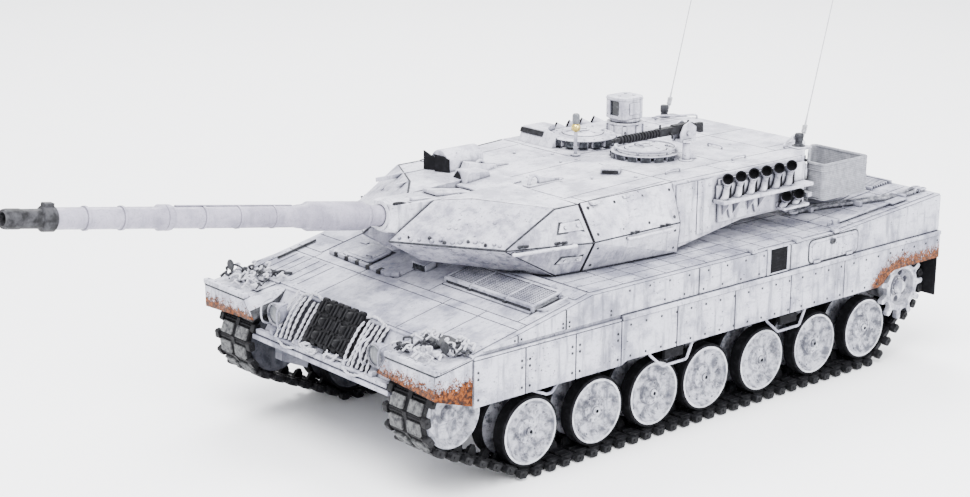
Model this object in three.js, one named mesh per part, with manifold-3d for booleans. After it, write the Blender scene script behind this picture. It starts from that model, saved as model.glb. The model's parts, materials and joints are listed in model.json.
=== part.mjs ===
// A radio-controlled battle tank in 1:16 scale, in millimetres. The hull faces -Y, its left side is +X and
// +Z is up. Hull stations are measured from the middle of the road-wheel row; the whole model is then moved
// along Y, so that the part's origin lies on the ground under the middle of its overall length, gun included.

import * as THREE from "three";
import { ConvexGeometry } from "three/addons/geometries/ConvexGeometry.js";
import { mergeVertices } from "three/addons/utils/BufferGeometryUtils.js";
import Module from "manifold-3d";

const wasm = await Module();
wasm.setup();

// ---- Driving dimensions -------------------------------------------------------------------------------------

const GAP = 0.4; // running and assembly clearance between neighbouring pieces
const WALL = 2.2; // moulded wall

const HALF_WIDTH = 117.2; // to the outer face of the front skirt panels
const HULL_SIDE = 115; // half width of the upper hull
const TUB_SIDE = 62; // half width of the lower tub
const HULL_REAR = 212;
const FRONT_EDGE = -238; // front face of the mudguards
const NOSE_TOP = [-212, 88.5]; // glacis meets nose plate
const NOSE_FOOT = [-231, 62]; // nose plate meets the lower bow
const DECK_Z = 108;
const DECK_FRONT = -120; // glacis meets deck
const DECK_RISE = 104; // the engine deck starts to rise here
const DECK_REAR_Z = 116.5;
const SPONSON_Z = 80; // floor of the side boxes over the tracks
const BELLY_Z = 33.5;

const WHEEL_Y = [-154.5, -100.9, -51.7, -4.9, 48.2, 101.4, 154.5];
const WHEEL_Z = 27.4;
const WHEEL_R = 21.875;
const TRACK_X = 87; // centre plane of a track
const TRACK_WIDTH = 39.2;
const TRACK_THICK = 5.2;
const HORN_HEIGHT = 5.4;
const HORN_WIDTH = 3;
const AXLE_R = 2;
const IDLER = { y: -212.6, z: 50.9, r: 19.6 };
const SPROCKET = {
  y: 188, z: 51.5, trackR: 17.4, rootR: 16.8, tipR: 23, teeth: 11, ringX: 16.9, ringT: 4, shaftR: 3,
};
const SPROCKET_PHASE = 0.052; // angle of the first tooth from +Y towards +Z

const ARM_BACK = 26; // wheel axle behind the arm pivot
const ARM_DROP = 14.6; // wheel axle below the arm pivot
const ARM_T = 3;
const WHEEL_SEGMENTS = 14;

const BATTERY_DOOR = { x: 15, y0: 30, y1: 80 };
const SWITCH_SLOT = { x: 3, y0: -64, y1: -52 };
const DRIVER_HATCH = { x: -55, y: -154, width: 30, length: 20, t: 2.2 };

const RING_Y = -20; // turret ring axis
const RING_R = 59;
const ROOF_Z = 153;
const TURRET_BOTTOM = 109.4;
const MODULE_FRONT = -94.6; // front end of the side modules
const MODULE_REAR = -20;
const BUSTLE_SIDE = 84;
const BUSTLE_REAR = 141;
const WEDGE_IN = 12.6; // inner face of the front modules, beside the mantlet
const WEDGE_REAR = MODULE_FRONT - 1;

const TRUNNION = { y: -105, z: 130.3 };
const GUN_ELEVATION = THREE.MathUtils.degToRad(8.9);
const GUN_LENGTH = 328; // trunnion to muzzle
const MUZZLE_R = 5.1;
const BARREL_R = 6.2;
const MANTLET_HALF = 11.8;
const MANTLET_R = 16;
const MANTLET_FRONT = 82; // its nose, ahead of the trunnion
const MUZZLE_Y = TRUNNION.y - GUN_LENGTH * Math.cos(GUN_ELEVATION) - MUZZLE_R * Math.sin(GUN_ELEVATION);
const MUDFLAP_T = 1.5;
const REAR_Y = HULL_REAR + GAP + MUDFLAP_T;

const COMMANDER = { x: -36, y: 14, h: 6.6 };
const LOADER = { x: 17, y: 21, h: 4 };
const CUPOLA = { r: 23, lidR: 13.8, lidT: 2.4 };
const SIGHT = { x: -43, y: 61, r: 12, baseZ: 162 };
const GUN_POST = { x: 44, y: 31, h: 12 };
const MACHINE_GUN_Z = 174;
// Smoke grenade tubes: place of the foremost mouth of each row, turned forwards from the side and raised.
const LAUNCHER = {
  r: 3.7, length: 9, pitch: 12.2, x: 94, turn: THREE.MathUtils.degToRad(45), rise: THREE.MathUtils.degToRad(25),
  upper: { y: 17, z: 152.2, count: 6 },
  lower: { y: 74.5, z: 132.2, count: 2 },
};
const ANTENNA = { x: 63, y: 121, lean: THREE.MathUtils.degToRad(15), whip: 112 };

// ---- Materials ----------------------------------------------------------------------------------------------

const paint = (color, roughness = 0.6, metalness = 0) => () =>
  new THREE.MeshStandardMaterial({ color, roughness, metalness });
const WHITE = paint(0xe4e4ea, 0.62);
const WHITE_METAL = paint(0xd8d8de, 0.5, 0.2);
const BLACK = paint(0x17181b, 0.7);
const RUBBER = paint(0x101113, 0.9);
const GREY = paint(0x8d9096, 0.6);
const STEEL = paint(0x5a5d62, 0.45, 0.8);
const BOARD = paint(0x1d5b3a, 0.5);
const BLUE = paint(0x27418c, 0.45);

// ---- Geometry helpers ---------------------------------------------------------------------------------------

// A closed three.js geometry as a solid with its faces pointing out.
function solid(geometry) {
  const bare = geometry.index ? geometry.toNonIndexed() : geometry.clone();
  bare.deleteAttribute("normal");
  bare.deleteAttribute("uv");
  const merged = mergeVertices(bare, 1e-3);
  const make = () =>
    new wasm.Manifold(
      new wasm.Mesh({
        numProp: 3,
        vertProperties: merged.attributes.position.array,
        triVerts: new Uint32Array(merged.index.array),
      }),
    );
  const made = make();
  if (made.volume() > 0) return made;
  const index = merged.index.array;
  for (let i = 0; i < index.length; i += 3) [index[i + 1], index[i + 2]] = [index[i + 2], index[i + 1]];
  return make();
}

const join = (...geometries) => geometryOf(geometries.map(solid).reduce((a, b) => a.add(b)));
const cut = (body, ...tools) => geometryOf(tools.map(solid).reduce((a, b) => a.subtract(b), solid(body)));

function geometryOf(manifold) {
  const { numProp, numVert, vertProperties, triVerts } = manifold.getMesh();
  const position = new Float32Array(numVert * 3);
  for (let i = 0; i < numVert; i++) position.set(vertProperties.subarray(i * numProp, i * numProp + 3), i * 3);
  const geometry = new THREE.BufferGeometry();
  geometry.setAttribute("position", new THREE.BufferAttribute(position, 3));
  geometry.setIndex(new THREE.BufferAttribute(new Uint32Array(triVerts), 1));
  return geometry;
}

const box = (x0, x1, y0, y1, z0, z1) =>
  new THREE.BoxGeometry(x1 - x0, y1 - y0, z1 - z0).translate((x0 + x1) / 2, (y0 + y1) / 2, (z0 + z1) / 2);

const shapeOf = (points) => new THREE.Shape(points.map(([a, b]) => new THREE.Vector2(a, b)));
const extrude = (shape, depth, curveSegments = 6) =>
  new THREE.ExtrudeGeometry(shape, { depth, bevelEnabled: false, curveSegments });

const X_AXIS = new THREE.Vector3(1, 0, 0);
const Y_AXIS = new THREE.Vector3(0, 1, 0);
const Z_AXIS = new THREE.Vector3(0, 0, 1);
const SIDE_TO_WORLD = new THREE.Matrix4().makeBasis(Y_AXIS, Z_AXIS, X_AXIS);

// A side outline in (y, z), extruded from x0 to x1.
const sidePrism = (shape, x0, x1, curveSegments) =>
  extrude(shape, x1 - x0, curveSegments).applyMatrix4(SIDE_TO_WORLD).translate(x0, 0, 0);
// A plan outline in (x, y), extruded from z0 to z1.
const planPrism = (shape, z0, z1, curveSegments) => extrude(shape, z1 - z0, curveSegments).translate(0, 0, z0);

// A turned piece about a line along X or Z: profile points are [radius, distance along the axis].
const turned = (profile, segments) =>
  new THREE.LatheGeometry(
    profile.map(([r, h]) => new THREE.Vector2(r, h)),
    segments,
  );
const turnedX = (profile, segments, x, y, z) =>
  turned(profile, segments).rotateZ(-Math.PI / 2).translate(x, y, z);
const turnedZ = (profile, segments, x, y, z) =>
  turned(profile, segments).rotateX(Math.PI / 2).translate(x, y, z);
const rod = (r, h0, h1) => [[0, h0], [r, h0], [r, h1], [0, h1]];
const hull = (points) => new ConvexGeometry(points.map((p) => new THREE.Vector3(...p)));

const model = new THREE.Group();
model.position.y = -(MUZZLE_Y + REAR_Y) / 2;

function add(name, geometry, material) {
  const mesh = new THREE.Mesh(geometryOf(solid(geometry)), material());
  mesh.name = name;
  model.add(mesh);
}

// The mirror image of a piece made for the left side.
const mirrored = (geometry) => geometryOf(solid(geometry.clone().scale(-1, 1, 1)));

function addPair(name, geometry, material) {
  add(name + "_left", geometry, material);
  add(name + "_right", mirrored(geometry), material);
}

// ---- Hull ---------------------------------------------------------------------------------------------------

const GLACIS_SLOPE = (DECK_Z - NOSE_TOP[1]) / (DECK_FRONT - NOSE_TOP[0]);
const glacisZ = (y) => NOSE_TOP[1] + GLACIS_SLOPE * (y - NOSE_TOP[0]);
const pivotOf = (wheelY) => ({ y: wheelY - ARM_BACK, z: WHEEL_Z + ARM_DROP });

function hullTub() {
  const outline = [
    [-224, 59.6], [-190, BELLY_Z], [204, BELLY_Z], [210, 42], [210, SPONSON_Z - GAP], [-203, SPONSON_Z - GAP],
    [-203, 59.6],
  ];
  const inside = [
    [-203 + WALL, 49], [-186, BELLY_Z + WALL], [202, BELLY_Z + WALL], [210 - WALL, 44],
    [210 - WALL, SPONSON_Z + 5], [-203 + WALL, SPONSON_Z + 5],
  ];
  const tools = [
    sidePrism(shapeOf(inside), -TUB_SIDE + 2, TUB_SIDE - 2),
    box(-BATTERY_DOOR.x - GAP, BATTERY_DOOR.x + GAP, BATTERY_DOOR.y0 - GAP, BATTERY_DOOR.y1 + GAP, 30, 38),
    box(-SWITCH_SLOT.x, SWITCH_SLOT.x, SWITCH_SLOT.y0, SWITCH_SLOT.y1, 30, 38),
  ];
  const through = (r, y, z) => turnedX(rod(r, -TUB_SIDE - 5, TUB_SIDE + 5), 8, 0, y, z);
  for (const y of WHEEL_Y) tools.push(through(AXLE_R + GAP, pivotOf(y).y, pivotOf(y).z));
  tools.push(through(SPROCKET.shaftR + GAP, SPROCKET.y, SPROCKET.z));
  const shell = cut(sidePrism(shapeOf(outline), -TUB_SIDE, TUB_SIDE), ...tools);
  // Fixed stub axles that carry the idlers.
  const stubProfile = [[0, 60.5], [7, 60.5], [7, 67], [AXLE_R, 67], [AXLE_R, 95], [0, 95]];
  const stub = turnedX(stubProfile, 8, 0, IDLER.y, IDLER.z);
  const mount = sidePrism(shapeOf([[-222, 57], [-222, 44.5], [-203, 36], [-198, 57]]), 55, TUB_SIDE);
  return join(shell, stub, mount, mirrored(stub), mirrored(mount));
}

function hullUpper() {
  const outline = [
    [FRONT_EDGE, 71], [FRONT_EDGE, 84], NOSE_TOP, [DECK_FRONT, DECK_Z], [DECK_RISE, DECK_Z],
    [HULL_REAR, DECK_REAR_Z], [HULL_REAR, SPONSON_Z], [FRONT_EDGE + 2, SPONSON_Z], [FRONT_EDGE + 2, 71],
  ];
  const noseCut = [[-260, 50], NOSE_FOOT, NOSE_TOP, [NOSE_TOP[0], 130], [-260, 130]];
  const nose = [NOSE_FOOT, NOSE_TOP, [-200, 88], [-200, SPONSON_Z], [-205, SPONSON_Z], [-205, 62]];
  const noseInside = [[-226.4, 61], [-209.5, 84.6], [-198, 84.6], [-198, SPONSON_Z + 4], [-205 - WALL, 61]];
  const inside = [
    [-210, glacisZ(-210) - WALL - 0.6], [DECK_FRONT, DECK_Z - WALL], [DECK_RISE, DECK_Z - WALL],
    [HULL_REAR - WALL, DECK_REAR_Z - WALL], [HULL_REAR - WALL, SPONSON_Z + WALL], [-210, SPONSON_Z + WALL],
  ];
  const body = cut(
    sidePrism(shapeOf(outline), -HULL_SIDE, HULL_SIDE),
    sidePrism(shapeOf(noseCut), -TUB_SIDE - 0.7, TUB_SIDE + 0.7),
  );
  const withNose = join(body, sidePrism(shapeOf(nose), -TUB_SIDE - 0.7, TUB_SIDE + 0.7));
  const shell = cut(
    withNose,
    sidePrism(shapeOf(inside), -HULL_SIDE + WALL, HULL_SIDE - WALL),
    sidePrism(shapeOf(noseInside), -TUB_SIDE + 3, TUB_SIDE - 3),
    box(-TUB_SIDE + 2.5, TUB_SIDE - 2.5, -206.5, HULL_REAR - 2 * WALL, SPONSON_Z - 3, SPONSON_Z + 4),
    turnedZ(rod(RING_R + 1.5, 95, 120), 28, 0, RING_Y, 0),
  );
  const rackFloor = glacisZ(-145) - 3;
  const extras = [
    // The mesh-topped rack, the driver's periscope, the step behind them and the spare track links.
    box(25, 103, -156, -134, rackFloor, rackFloor + 6),
    box(-13, -1, -151, -144, glacisZ(-151) - 1, glacisZ(-144) + 2.6),
    sidePrism(shapeOf([[-226, 72], [-233.5, 67.5], [-219, 88], [-213.5, 84]]), -20, 20),
    // A raised grille frame on each side of the engine deck.
    box(-78, -22, 128, 182, DECK_Z + 1, DECK_Z + 6.4),
    box(22, 78, 128, 182, DECK_Z + 1, DECK_Z + 6.4),
  ];
  for (const side of [-1, 1])
    extras.push(turnedX(rod(6, -8, 8), 16, 0, 0, 0).rotateZ(Math.PI / 2).translate(side * 47, -222, 81));
  return join(shell, ...extras);
}

function skirt() {
  const front = [[-211.5, 60], [-97, 60], [-93, 63], [-93, 88.2], [-211.5, 88.2]];
  const rear = [
    [-93.2, 61.5], [148, 61.5], [163, 71], [213, 71], [213, 88.2], [-93.2, 88.2],
  ];
  return join(
    sidePrism(shapeOf(front), HULL_SIDE + GAP, HALF_WIDTH),
    sidePrism(shapeOf(rear), HULL_SIDE + GAP, HALF_WIDTH - 0.6),
  );
}

function driverHatch() {
  const { x, y, width, length, t } = DRIVER_HATCH;
  const plate = new THREE.BoxGeometry(width, length, t).translate(0, 0, t / 2);
  return plate.rotateX(Math.atan(GLACIS_SLOPE)).translate(x, y, glacisZ(y) + GAP);
}

// ---- Running gear -------------------------------------------------------------------------------------------

const beltCircles = (inset) => [
  { y: WHEEL_Y[0], z: WHEEL_Z, r: WHEEL_R + 0.325 - inset },
  { y: WHEEL_Y[6], z: WHEEL_Z, r: WHEEL_R + 0.325 - inset },
  { y: SPROCKET.y, z: SPROCKET.z, r: SPROCKET.trackR - inset },
  { y: IDLER.y, z: IDLER.z, r: IDLER.r + GAP - inset },
];

// The closed outline of a belt around the four circles, shifted inwards by inset.
function beltShape(inset) {
  const circles = beltCircles(inset);
  const contact = circles.map((a, i) => {
    const b = circles[(i + 1) % circles.length];
    const [dy, dz] = [b.y - a.y, b.z - a.z];
    return Math.atan2(dz, dy) - Math.PI / 2 + Math.asin((a.r - b.r) / Math.hypot(dy, dz));
  });
  const shape = new THREE.Shape();
  circles.forEach((c, i) => {
    const from = contact[(i + circles.length - 1) % circles.length];
    shape.absarc(c.y, c.z, c.r, from, contact[i], false);
  });
  return shape;
}

// A band between two belt outlines: outer minus inner.
function belt(outerInset, innerInset, x0, x1) {
  const arcSteps = 7;
  return cut(
    sidePrism(beltShape(outerInset), x0, x1, arcSteps),
    sidePrism(beltShape(innerInset), x0 - 1, x1 + 1, arcSteps),
  );
}

function track() {
  const half = TRACK_WIDTH / 2;
  const band = belt(-TRACK_THICK, 0, TRACK_X - half, TRACK_X + half);
  const horns = belt(-1, HORN_HEIGHT, TRACK_X - HORN_WIDTH / 2, TRACK_X + HORN_WIDTH / 2);
  const ringIn = SPROCKET.ringX - SPROCKET.ringT / 2 - GAP;
  const clear = (side) =>
    turnedX(rod(SPROCKET.tipR + 0.6, ringIn, half + 2), 20, 0, 0, 0)
      .scale(side, 1, 1)
      .translate(TRACK_X, SPROCKET.y, SPROCKET.z);
  return cut(join(band, horns), clear(1), clear(-1));
}

function sprocket() {
  const { y, z, rootR, tipR, teeth, ringX, ringT, shaftR } = SPROCKET;
  const pitch = (2 * Math.PI) / teeth;
  const outline = [];
  for (let i = 0; i < teeth; i++)
    for (const [r, share] of [[rootR, -0.27], [tipR, -0.12], [tipR, 0.12], [rootR, 0.27]]) {
      const angle = SPROCKET_PHASE + (i + share) * pitch;
      outline.push([r * Math.cos(angle), r * Math.sin(angle)]);
    }
  const ring = (x) =>
    cut(
      sidePrism(shapeOf(outline), x - ringT / 2, x + ringT / 2),
      turnedX(rod(12.5, x - ringT, x + ringT), 12, 0, 0, 0),
    );
  const hub = turnedX(
    [[0, -32], [shaftR, -32], [shaftR, -18.9], [15.5, -18.9], [15.5, -9], [10.8, -6], [10.8, 6], [15.5, 9],
      [15.5, 15.5], [8, 13.5], [6, 18], [0, 18]],
    12, 0, 0, 0,
  );
  return join(hub, ring(ringX), ring(-ringX)).translate(TRACK_X, y, z);
}

function idler() {
  const r = IDLER.r;
  return turnedX(
    [[0, 11], [4, 11], [6, 7], [15, 9], [17.5, 13.4], [r, 13], [r, 5], [13.4, 4], [13.4, -4], [r, -5], [r, -13],
      [16, -13], [9, -10], [AXLE_R + GAP, -10], [AXLE_R + GAP, 9], [0, 9]],
    16, TRACK_X, IDLER.y, IDLER.z,
  );
}

function roadWheel(y) {
  return turnedX(
    [[0, 15], [4.5, 15], [6, 11], [18, 13], [WHEEL_R, 14.5], [WHEEL_R, 5.5], [15.6, 4], [15.6, -4],
      [WHEEL_R, -5.5], [WHEEL_R, -14.2], [8, -10], [AXLE_R + GAP, -10], [AXLE_R + GAP, 10], [0, 10]],
    WHEEL_SEGMENTS, TRACK_X, y, WHEEL_Z,
  );
}

// A trailing arm: pivot pin through the tub wall, arm blade, wheel axle.
function suspensionArm(wheelY) {
  const pivot = pivotOf(wheelY);
  const lean = Math.atan2(WHEEL_Z - pivot.z, ARM_BACK);
  const blade = new THREE.Shape();
  blade.absarc(pivot.y, pivot.z, 5, lean + Math.PI / 2, lean - Math.PI / 2, false);
  blade.absarc(wheelY, WHEEL_Z, 4, lean - Math.PI / 2, lean + Math.PI / 2, false);
  return join(
    sidePrism(blade, TUB_SIDE + GAP, TUB_SIDE + GAP + ARM_T, 4),
    turnedX(rod(AXLE_R, TUB_SIDE - 3.5, TUB_SIDE + 2), 8, 0, pivot.y, pivot.z),
    turnedX(rod(AXLE_R, TUB_SIDE + 2, TRACK_X + 9), 8, 0, wheelY, WHEEL_Z),
  );
}

function driveUnit() {
  const { y, z } = SPROCKET;
  return join(
    box(38, 54, y - 26, y + 12, z - 13, z + 16),
    turnedX(rod(9, 6, 39), 14, 0, y - 15, z + 4),
  );
}

// ---- Inside the hull ----------------------------------------------------------------------------------------

const batteryPack = () => box(-22, 22, -16, 122, BELLY_Z + WALL + 2.4, BELLY_Z + WALL + 26);

function controlBoard() {
  const boardZ = BELLY_Z + WALL + 10;
  return join(
    box(-32, 32, -112, -34, boardZ, boardZ + 1.6),
    box(-20, 4, -100, -78, boardZ + 1.4, boardZ + 6),
    box(8, 26, -70, -44, boardZ + 1.4, boardZ + 9),
    box(-28, -12, -62, -40, boardZ + 1.4, boardZ + 7),
  );
}

const batteryDoor = () =>
  join(
    box(-BATTERY_DOOR.x, BATTERY_DOOR.x, BATTERY_DOOR.y0, BATTERY_DOOR.y1, BELLY_Z, BELLY_Z + 1.8),
    box(-13.5, -10.5, 51, 59, BELLY_Z - 0.8, BELLY_Z + 1),
  );

const powerSwitch = () => box(-2.4, 2.4, SWITCH_SLOT.y0 + 1, SWITCH_SLOT.y0 + 7, BELLY_Z - 1.5, BELLY_Z + 3.5);

// ---- Turret -------------------------------------------------------------------------------------------------

// The left front module: a knife edge at mid height, swept back to the side.
function frontModule() {
  return hull([
    [WEDGE_IN, -189.5, 130], [72.6, -149.9, 130],
    [WEDGE_IN, -155, 149.5], [30, -139.7, 151.5], [75, -113.8, 150],
    [75.6, WEDGE_REAR, 150], [89.5, WEDGE_REAR, 129.2], [78.3, WEDGE_REAR, TURRET_BOTTOM],
    [75.7, -113.5, TURRET_BOTTOM], [WEDGE_IN, -166, 115.3],
    [WEDGE_IN, WEDGE_REAR, TURRET_BOTTOM], [WEDGE_IN, WEDGE_REAR, 152.6],
  ]);
}

// A hull over a row of cross-sections: each is [y, half outline points as [x, z]].
const stations = (rows) =>
  hull(rows.flatMap(([y, half]) => half.flatMap(([x, z]) => [[x, y, z], [-x, y, z]])));

function turretBody() {
  const modules = stations([
    [MODULE_FRONT, [[75.6, 150.4], [89.5, 129.2], [78.3, TURRET_BOTTOM]]],
    [MODULE_REAR, [[80.5, ROOF_Z], [88.5, 129], [86.5, 110.2]]],
  ]);
  const bustleFront = stations([
    [MODULE_REAR - 1, [[83.5, ROOF_Z], [BUSTLE_SIDE, 110.4]]],
    [42, [[83.5, ROOF_Z], [BUSTLE_SIDE, 120]]],
  ]);
  const bustleRear = stations([
    [41, [[83.5, ROOF_Z], [BUSTLE_SIDE, 120]]],
    [104, [[82.5, ROOF_Z], [83.5, 120]]],
    [BUSTLE_REAR, [[52, ROOF_Z], [52, 121]]],
  ]);
  const core = box(-70, 70, WEDGE_REAR - 4, MODULE_FRONT + 4, 111.4, 148.4);
  return [frontModule(), mirrored(frontModule()), modules, bustleFront, bustleRear, core];
}

function turretInside() {
  return [
    stations([
      [MODULE_FRONT + 2, [[72, 147.8], [85, 129.2], [74, 112]]],
      [MODULE_REAR, [[78, ROOF_Z - 2.4], [84, 129], [82, 112.6]]],
    ]),
    stations([
      [MODULE_REAR - 1, [[80, ROOF_Z - 2.4], [81, 113.2]]],
      [42, [[80, ROOF_Z - 2.4], [81, 122.4]]],
    ]),
    stations([
      [41, [[80, ROOF_Z - 2.4], [81, 122.4]]],
      [102, [[79, ROOF_Z - 2.4], [80, 122.4]]],
      [BUSTLE_REAR - 3, [[50, ROOF_Z - 2.4], [50, 123.4]]],
    ]),
    turnedZ(rod(RING_R - 3, 90, 130), 24, 0, RING_Y, 0),
  ];
}

function turretShell() {
  const ring = turnedZ(rod(RING_R, 100.5, 124), 24, 0, RING_Y, 0);
  const cupola = ({ x, y, h }) => turnedZ(rod(CUPOLA.r, ROOF_Z - 1.2, ROOF_Z + h), 18, x, y, 0);
  const shell = cut(join(...turretBody(), ring), ...turretInside());
  const opening = ({ x, y }) => turnedZ(rod(CUPOLA.lidR - 2.5, ROOF_Z - 8, ROOF_Z + 9), 14, x, y, 0);
  const roof = join(
    shell,
    cupola(COMMANDER),
    cupola(LOADER),
    turnedZ(rod(SIGHT.r, ROOF_Z - 1.2, SIGHT.baseZ), 14, SIGHT.x, SIGHT.y, 0),
    turnedZ(rod(2.6, ROOF_Z - 1.2, ROOF_Z + GUN_POST.h), 10, GUN_POST.x, GUN_POST.y, 0),
    box(-50, -32, -110, -76, 148.5, 165),
    box(-27, -13.5, -118, -92, 148.5, 157),
  );
  // The front has a curved seat for the mantlet and a way in for the breech.
  return cut(
    roof,
    opening(COMMANDER),
    opening(LOADER),
    turnedX(rod(MANTLET_R + 0.8, -WEDGE_IN, WEDGE_IN), 24, 0, TRUNNION.y, TRUNNION.z),
    box(-WEDGE_IN, WEDGE_IN, MODULE_FRONT - 12, MODULE_FRONT + 6, TRUNNION.z - 9, TRUNNION.z + 9),
  );
}

// Pieces of the gun are made level, pointing along -Y from the trunnion, and then raised.
const raised = (geometry) => geometry.rotateX(-GUN_ELEVATION).translate(0, TRUNNION.y, TRUNNION.z);
const turnedGun = (profile, segments) => turned(profile, segments).rotateX(Math.PI);

function mantlet() {
  const body = hull([
    ...[-1, 1].flatMap((s) => [
      [s * MANTLET_HALF, -MANTLET_FRONT + 6, 9], [s * MANTLET_HALF, -MANTLET_FRONT + 6, -9],
      [s * 8.4, -MANTLET_FRONT, 8.4], [s * 8.4, -MANTLET_FRONT, -8.4],
      [s * MANTLET_HALF, -30, 14.5], [s * MANTLET_HALF, -30, -13.5],
      [s * MANTLET_HALF, -4, 14.5], [s * MANTLET_HALF, -4, -13.5],
    ]),
  ]);
  const rotor = turnedX(rod(MANTLET_R, -MANTLET_HALF, MANTLET_HALF), 24, 0, 0, 0);
  const bore = turnedGun(rod(BARREL_R + GAP, -40, MANTLET_FRONT + 10), 14);
  return raised(cut(join(body, rotor), bore));
}

function gunBarrel() {
  const muzzleBore = 3.7;
  const profile = [
    [0, -12], [BARREL_R, -12], [BARREL_R, 91.5], [7.4, 92.5], [8.7, 99], [8.7, 136], [7.2, 139], [6.4, 146],
    [6.1, 228], [7.3, 229.5], [7.3, 236], [6.1, 237.5], [5.9, 299], [7, 300], [7, 306], [5.2, 307],
    [MUZZLE_R, GUN_LENGTH], [muzzleBore, GUN_LENGTH], [muzzleBore, GUN_LENGTH - 12], [0, GUN_LENGTH - 12],
  ];
  return raised(turnedGun(profile, 14));
}

function hatchLid({ x, y, h }) {
  const z = ROOF_Z + h + GAP;
  return join(
    turnedZ([[0, z], [CUPOLA.lidR, z], [CUPOLA.lidR, z + 1.4], [CUPOLA.lidR - 2, z + CUPOLA.lidT],
      [0, z + CUPOLA.lidT]], 16, x, y, 0),
    box(x - 4, x + 4, y + CUPOLA.lidR - 3, y + CUPOLA.lidR + 2.4, z, z + 2),
  );
}

function panoramicSight() {
  const z = SIGHT.baseZ + GAP;
  const head = planPrism(
    shapeOf([[-8, -9], [-4, -11.5], [4, -11.5], [8, -9], [9, 6], [5, 10], [-5, 10], [-9, 6]]), z + 2, z + 19,
  ).translate(SIGHT.x, SIGHT.y, 0);
  return join(head, turnedZ(rod(10.5, z, z + 2.6), 14, SIGHT.x, SIGHT.y, 0));
}

function machineGun() {
  const { x, y, h } = GUN_POST;
  const cradleZ = ROOF_Z + h + GAP;
  const along = (profile, segments) => turnedGun(profile, segments).translate(x - 3.5, y, MACHINE_GUN_Z);
  return join(
    box(x - 5.5, x + 2.2, y - 5, y + 4, cradleZ, MACHINE_GUN_Z),
    box(x - 6.2, x - 0.8, y - 24, y + 10, MACHINE_GUN_Z - 2.6, MACHINE_GUN_Z + 2.8),
    box(x - 5.2, x - 1.8, y + 9, y + 18, MACHINE_GUN_Z - 4.6, MACHINE_GUN_Z + 2.2),
    along([[0, 20], [1.9, 20], [1.9, 56], [1, 57], [1.5, 65], [0, 65]], 10),
  );
}

// The tubes stand on short posts along a shelf, in front of a back plate.
function grenadeLaunchers() {
  const { r, length, pitch, x, turn, rise, upper, lower } = LAUNCHER;
  const side = BUSTLE_SIDE + GAP;
  const shelfZ = 135.3;
  const back = length * Math.cos(rise) * Math.sin(turn);
  const drop = length * Math.sin(rise);
  const tubes = ({ y, z, count }, postFoot) =>
    Array.from({ length: count }, (_, i) => y + i * pitch).map((mouthY) => {
      const tube = turnedX(rod(r, -length, 0), 8, 0, 0, 0).rotateY(-rise).rotateZ(-turn);
      const post = box(side, side + 5, mouthY + back - 1.5, mouthY + back + 1.5, postFoot, z - drop);
      return join(tube.translate(x, mouthY, z), post);
    });
  return join(
    box(side, side + 9.5, 14, 101, shelfZ, shelfZ + 2.3),
    box(side, side + 1.6, 18, 101, 122, 150),
    ...tubes(upper, shelfZ + 1),
    ...tubes(lower, 124),
  );
}

function stowageBin() {
  const outline = [[92, 113], [92, 160], [45, 160], [45, 153.5], [78, 113]];
  const inside = [[90.4, 114.6], [90.4, 158.4], [47.4, 158.4], [47.4, 154], [78.8, 114.6]];
  return cut(planPrism(shapeOf(outline), 122.7, 146.8), planPrism(shapeOf(inside), 124.6, 150));
}

function antenna() {
  const base = turnedZ(rod(3.2, 0, 9), 12, 0, 0, 0);
  const whip = turnedZ([[0, 6], [1.3, 6], [0.8, 16], [0.5, ANTENNA.whip], [0, ANTENNA.whip]], 8, 0, 0, 0);
  whip.rotateX(-ANTENNA.lean).translate(0, 2, 0);
  return join(base, whip).translate(ANTENNA.x, ANTENNA.y, ROOF_Z + GAP);
}

// ---- Assembly -----------------------------------------------------------------------------------------------

add("hull_tub", hullTub(), WHITE);
add("hull_upper", hullUpper(), WHITE);
addPair("skirt", skirt(), WHITE);
addPair("mudflap", box(66, HULL_SIDE, HULL_REAR + GAP, REAR_Y, 43, 84), RUBBER);
add("driver_hatch", driverHatch(), WHITE);
add("battery_door", batteryDoor(), WHITE);
add("power_switch", powerSwitch(), BLACK);
add("battery_pack", batteryPack(), BLUE);
add("control_board", controlBoard(), BOARD);
addPair("drive_unit", driveUnit(), STEEL);

addPair("track", track(), BLACK);
addPair("sprocket", sprocket(), WHITE_METAL);
addPair("idler", idler(), WHITE_METAL);
WHEEL_Y.forEach((y, i) => {
  addPair(`road_wheel_${i + 1}`, roadWheel(y), WHITE_METAL);
  addPair(`arm_${i + 1}`, suspensionArm(y), GREY);
});

add("turret_shell", turretShell(), WHITE);
add("mantlet", mantlet(), WHITE);
add("gun_barrel", gunBarrel(), WHITE_METAL);
add("commander_hatch", hatchLid(COMMANDER), WHITE);
add("loader_hatch", hatchLid(LOADER), WHITE);
add("panoramic_sight", panoramicSight(), WHITE);
add("machine_gun", machineGun(), BLACK);
addPair("grenade_launchers", grenadeLaunchers(), WHITE);
addPair("stowage_bin", stowageBin(), GREY);
addPair("antenna", antenna(), BLACK);

export default model;
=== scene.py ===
"""A 1:16 radio-controlled battle tank in worn white winter paint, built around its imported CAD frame."""

import json
import math
import random

import bmesh
import bpy
import numpy as np
from mathutils import Matrix, Vector


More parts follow.
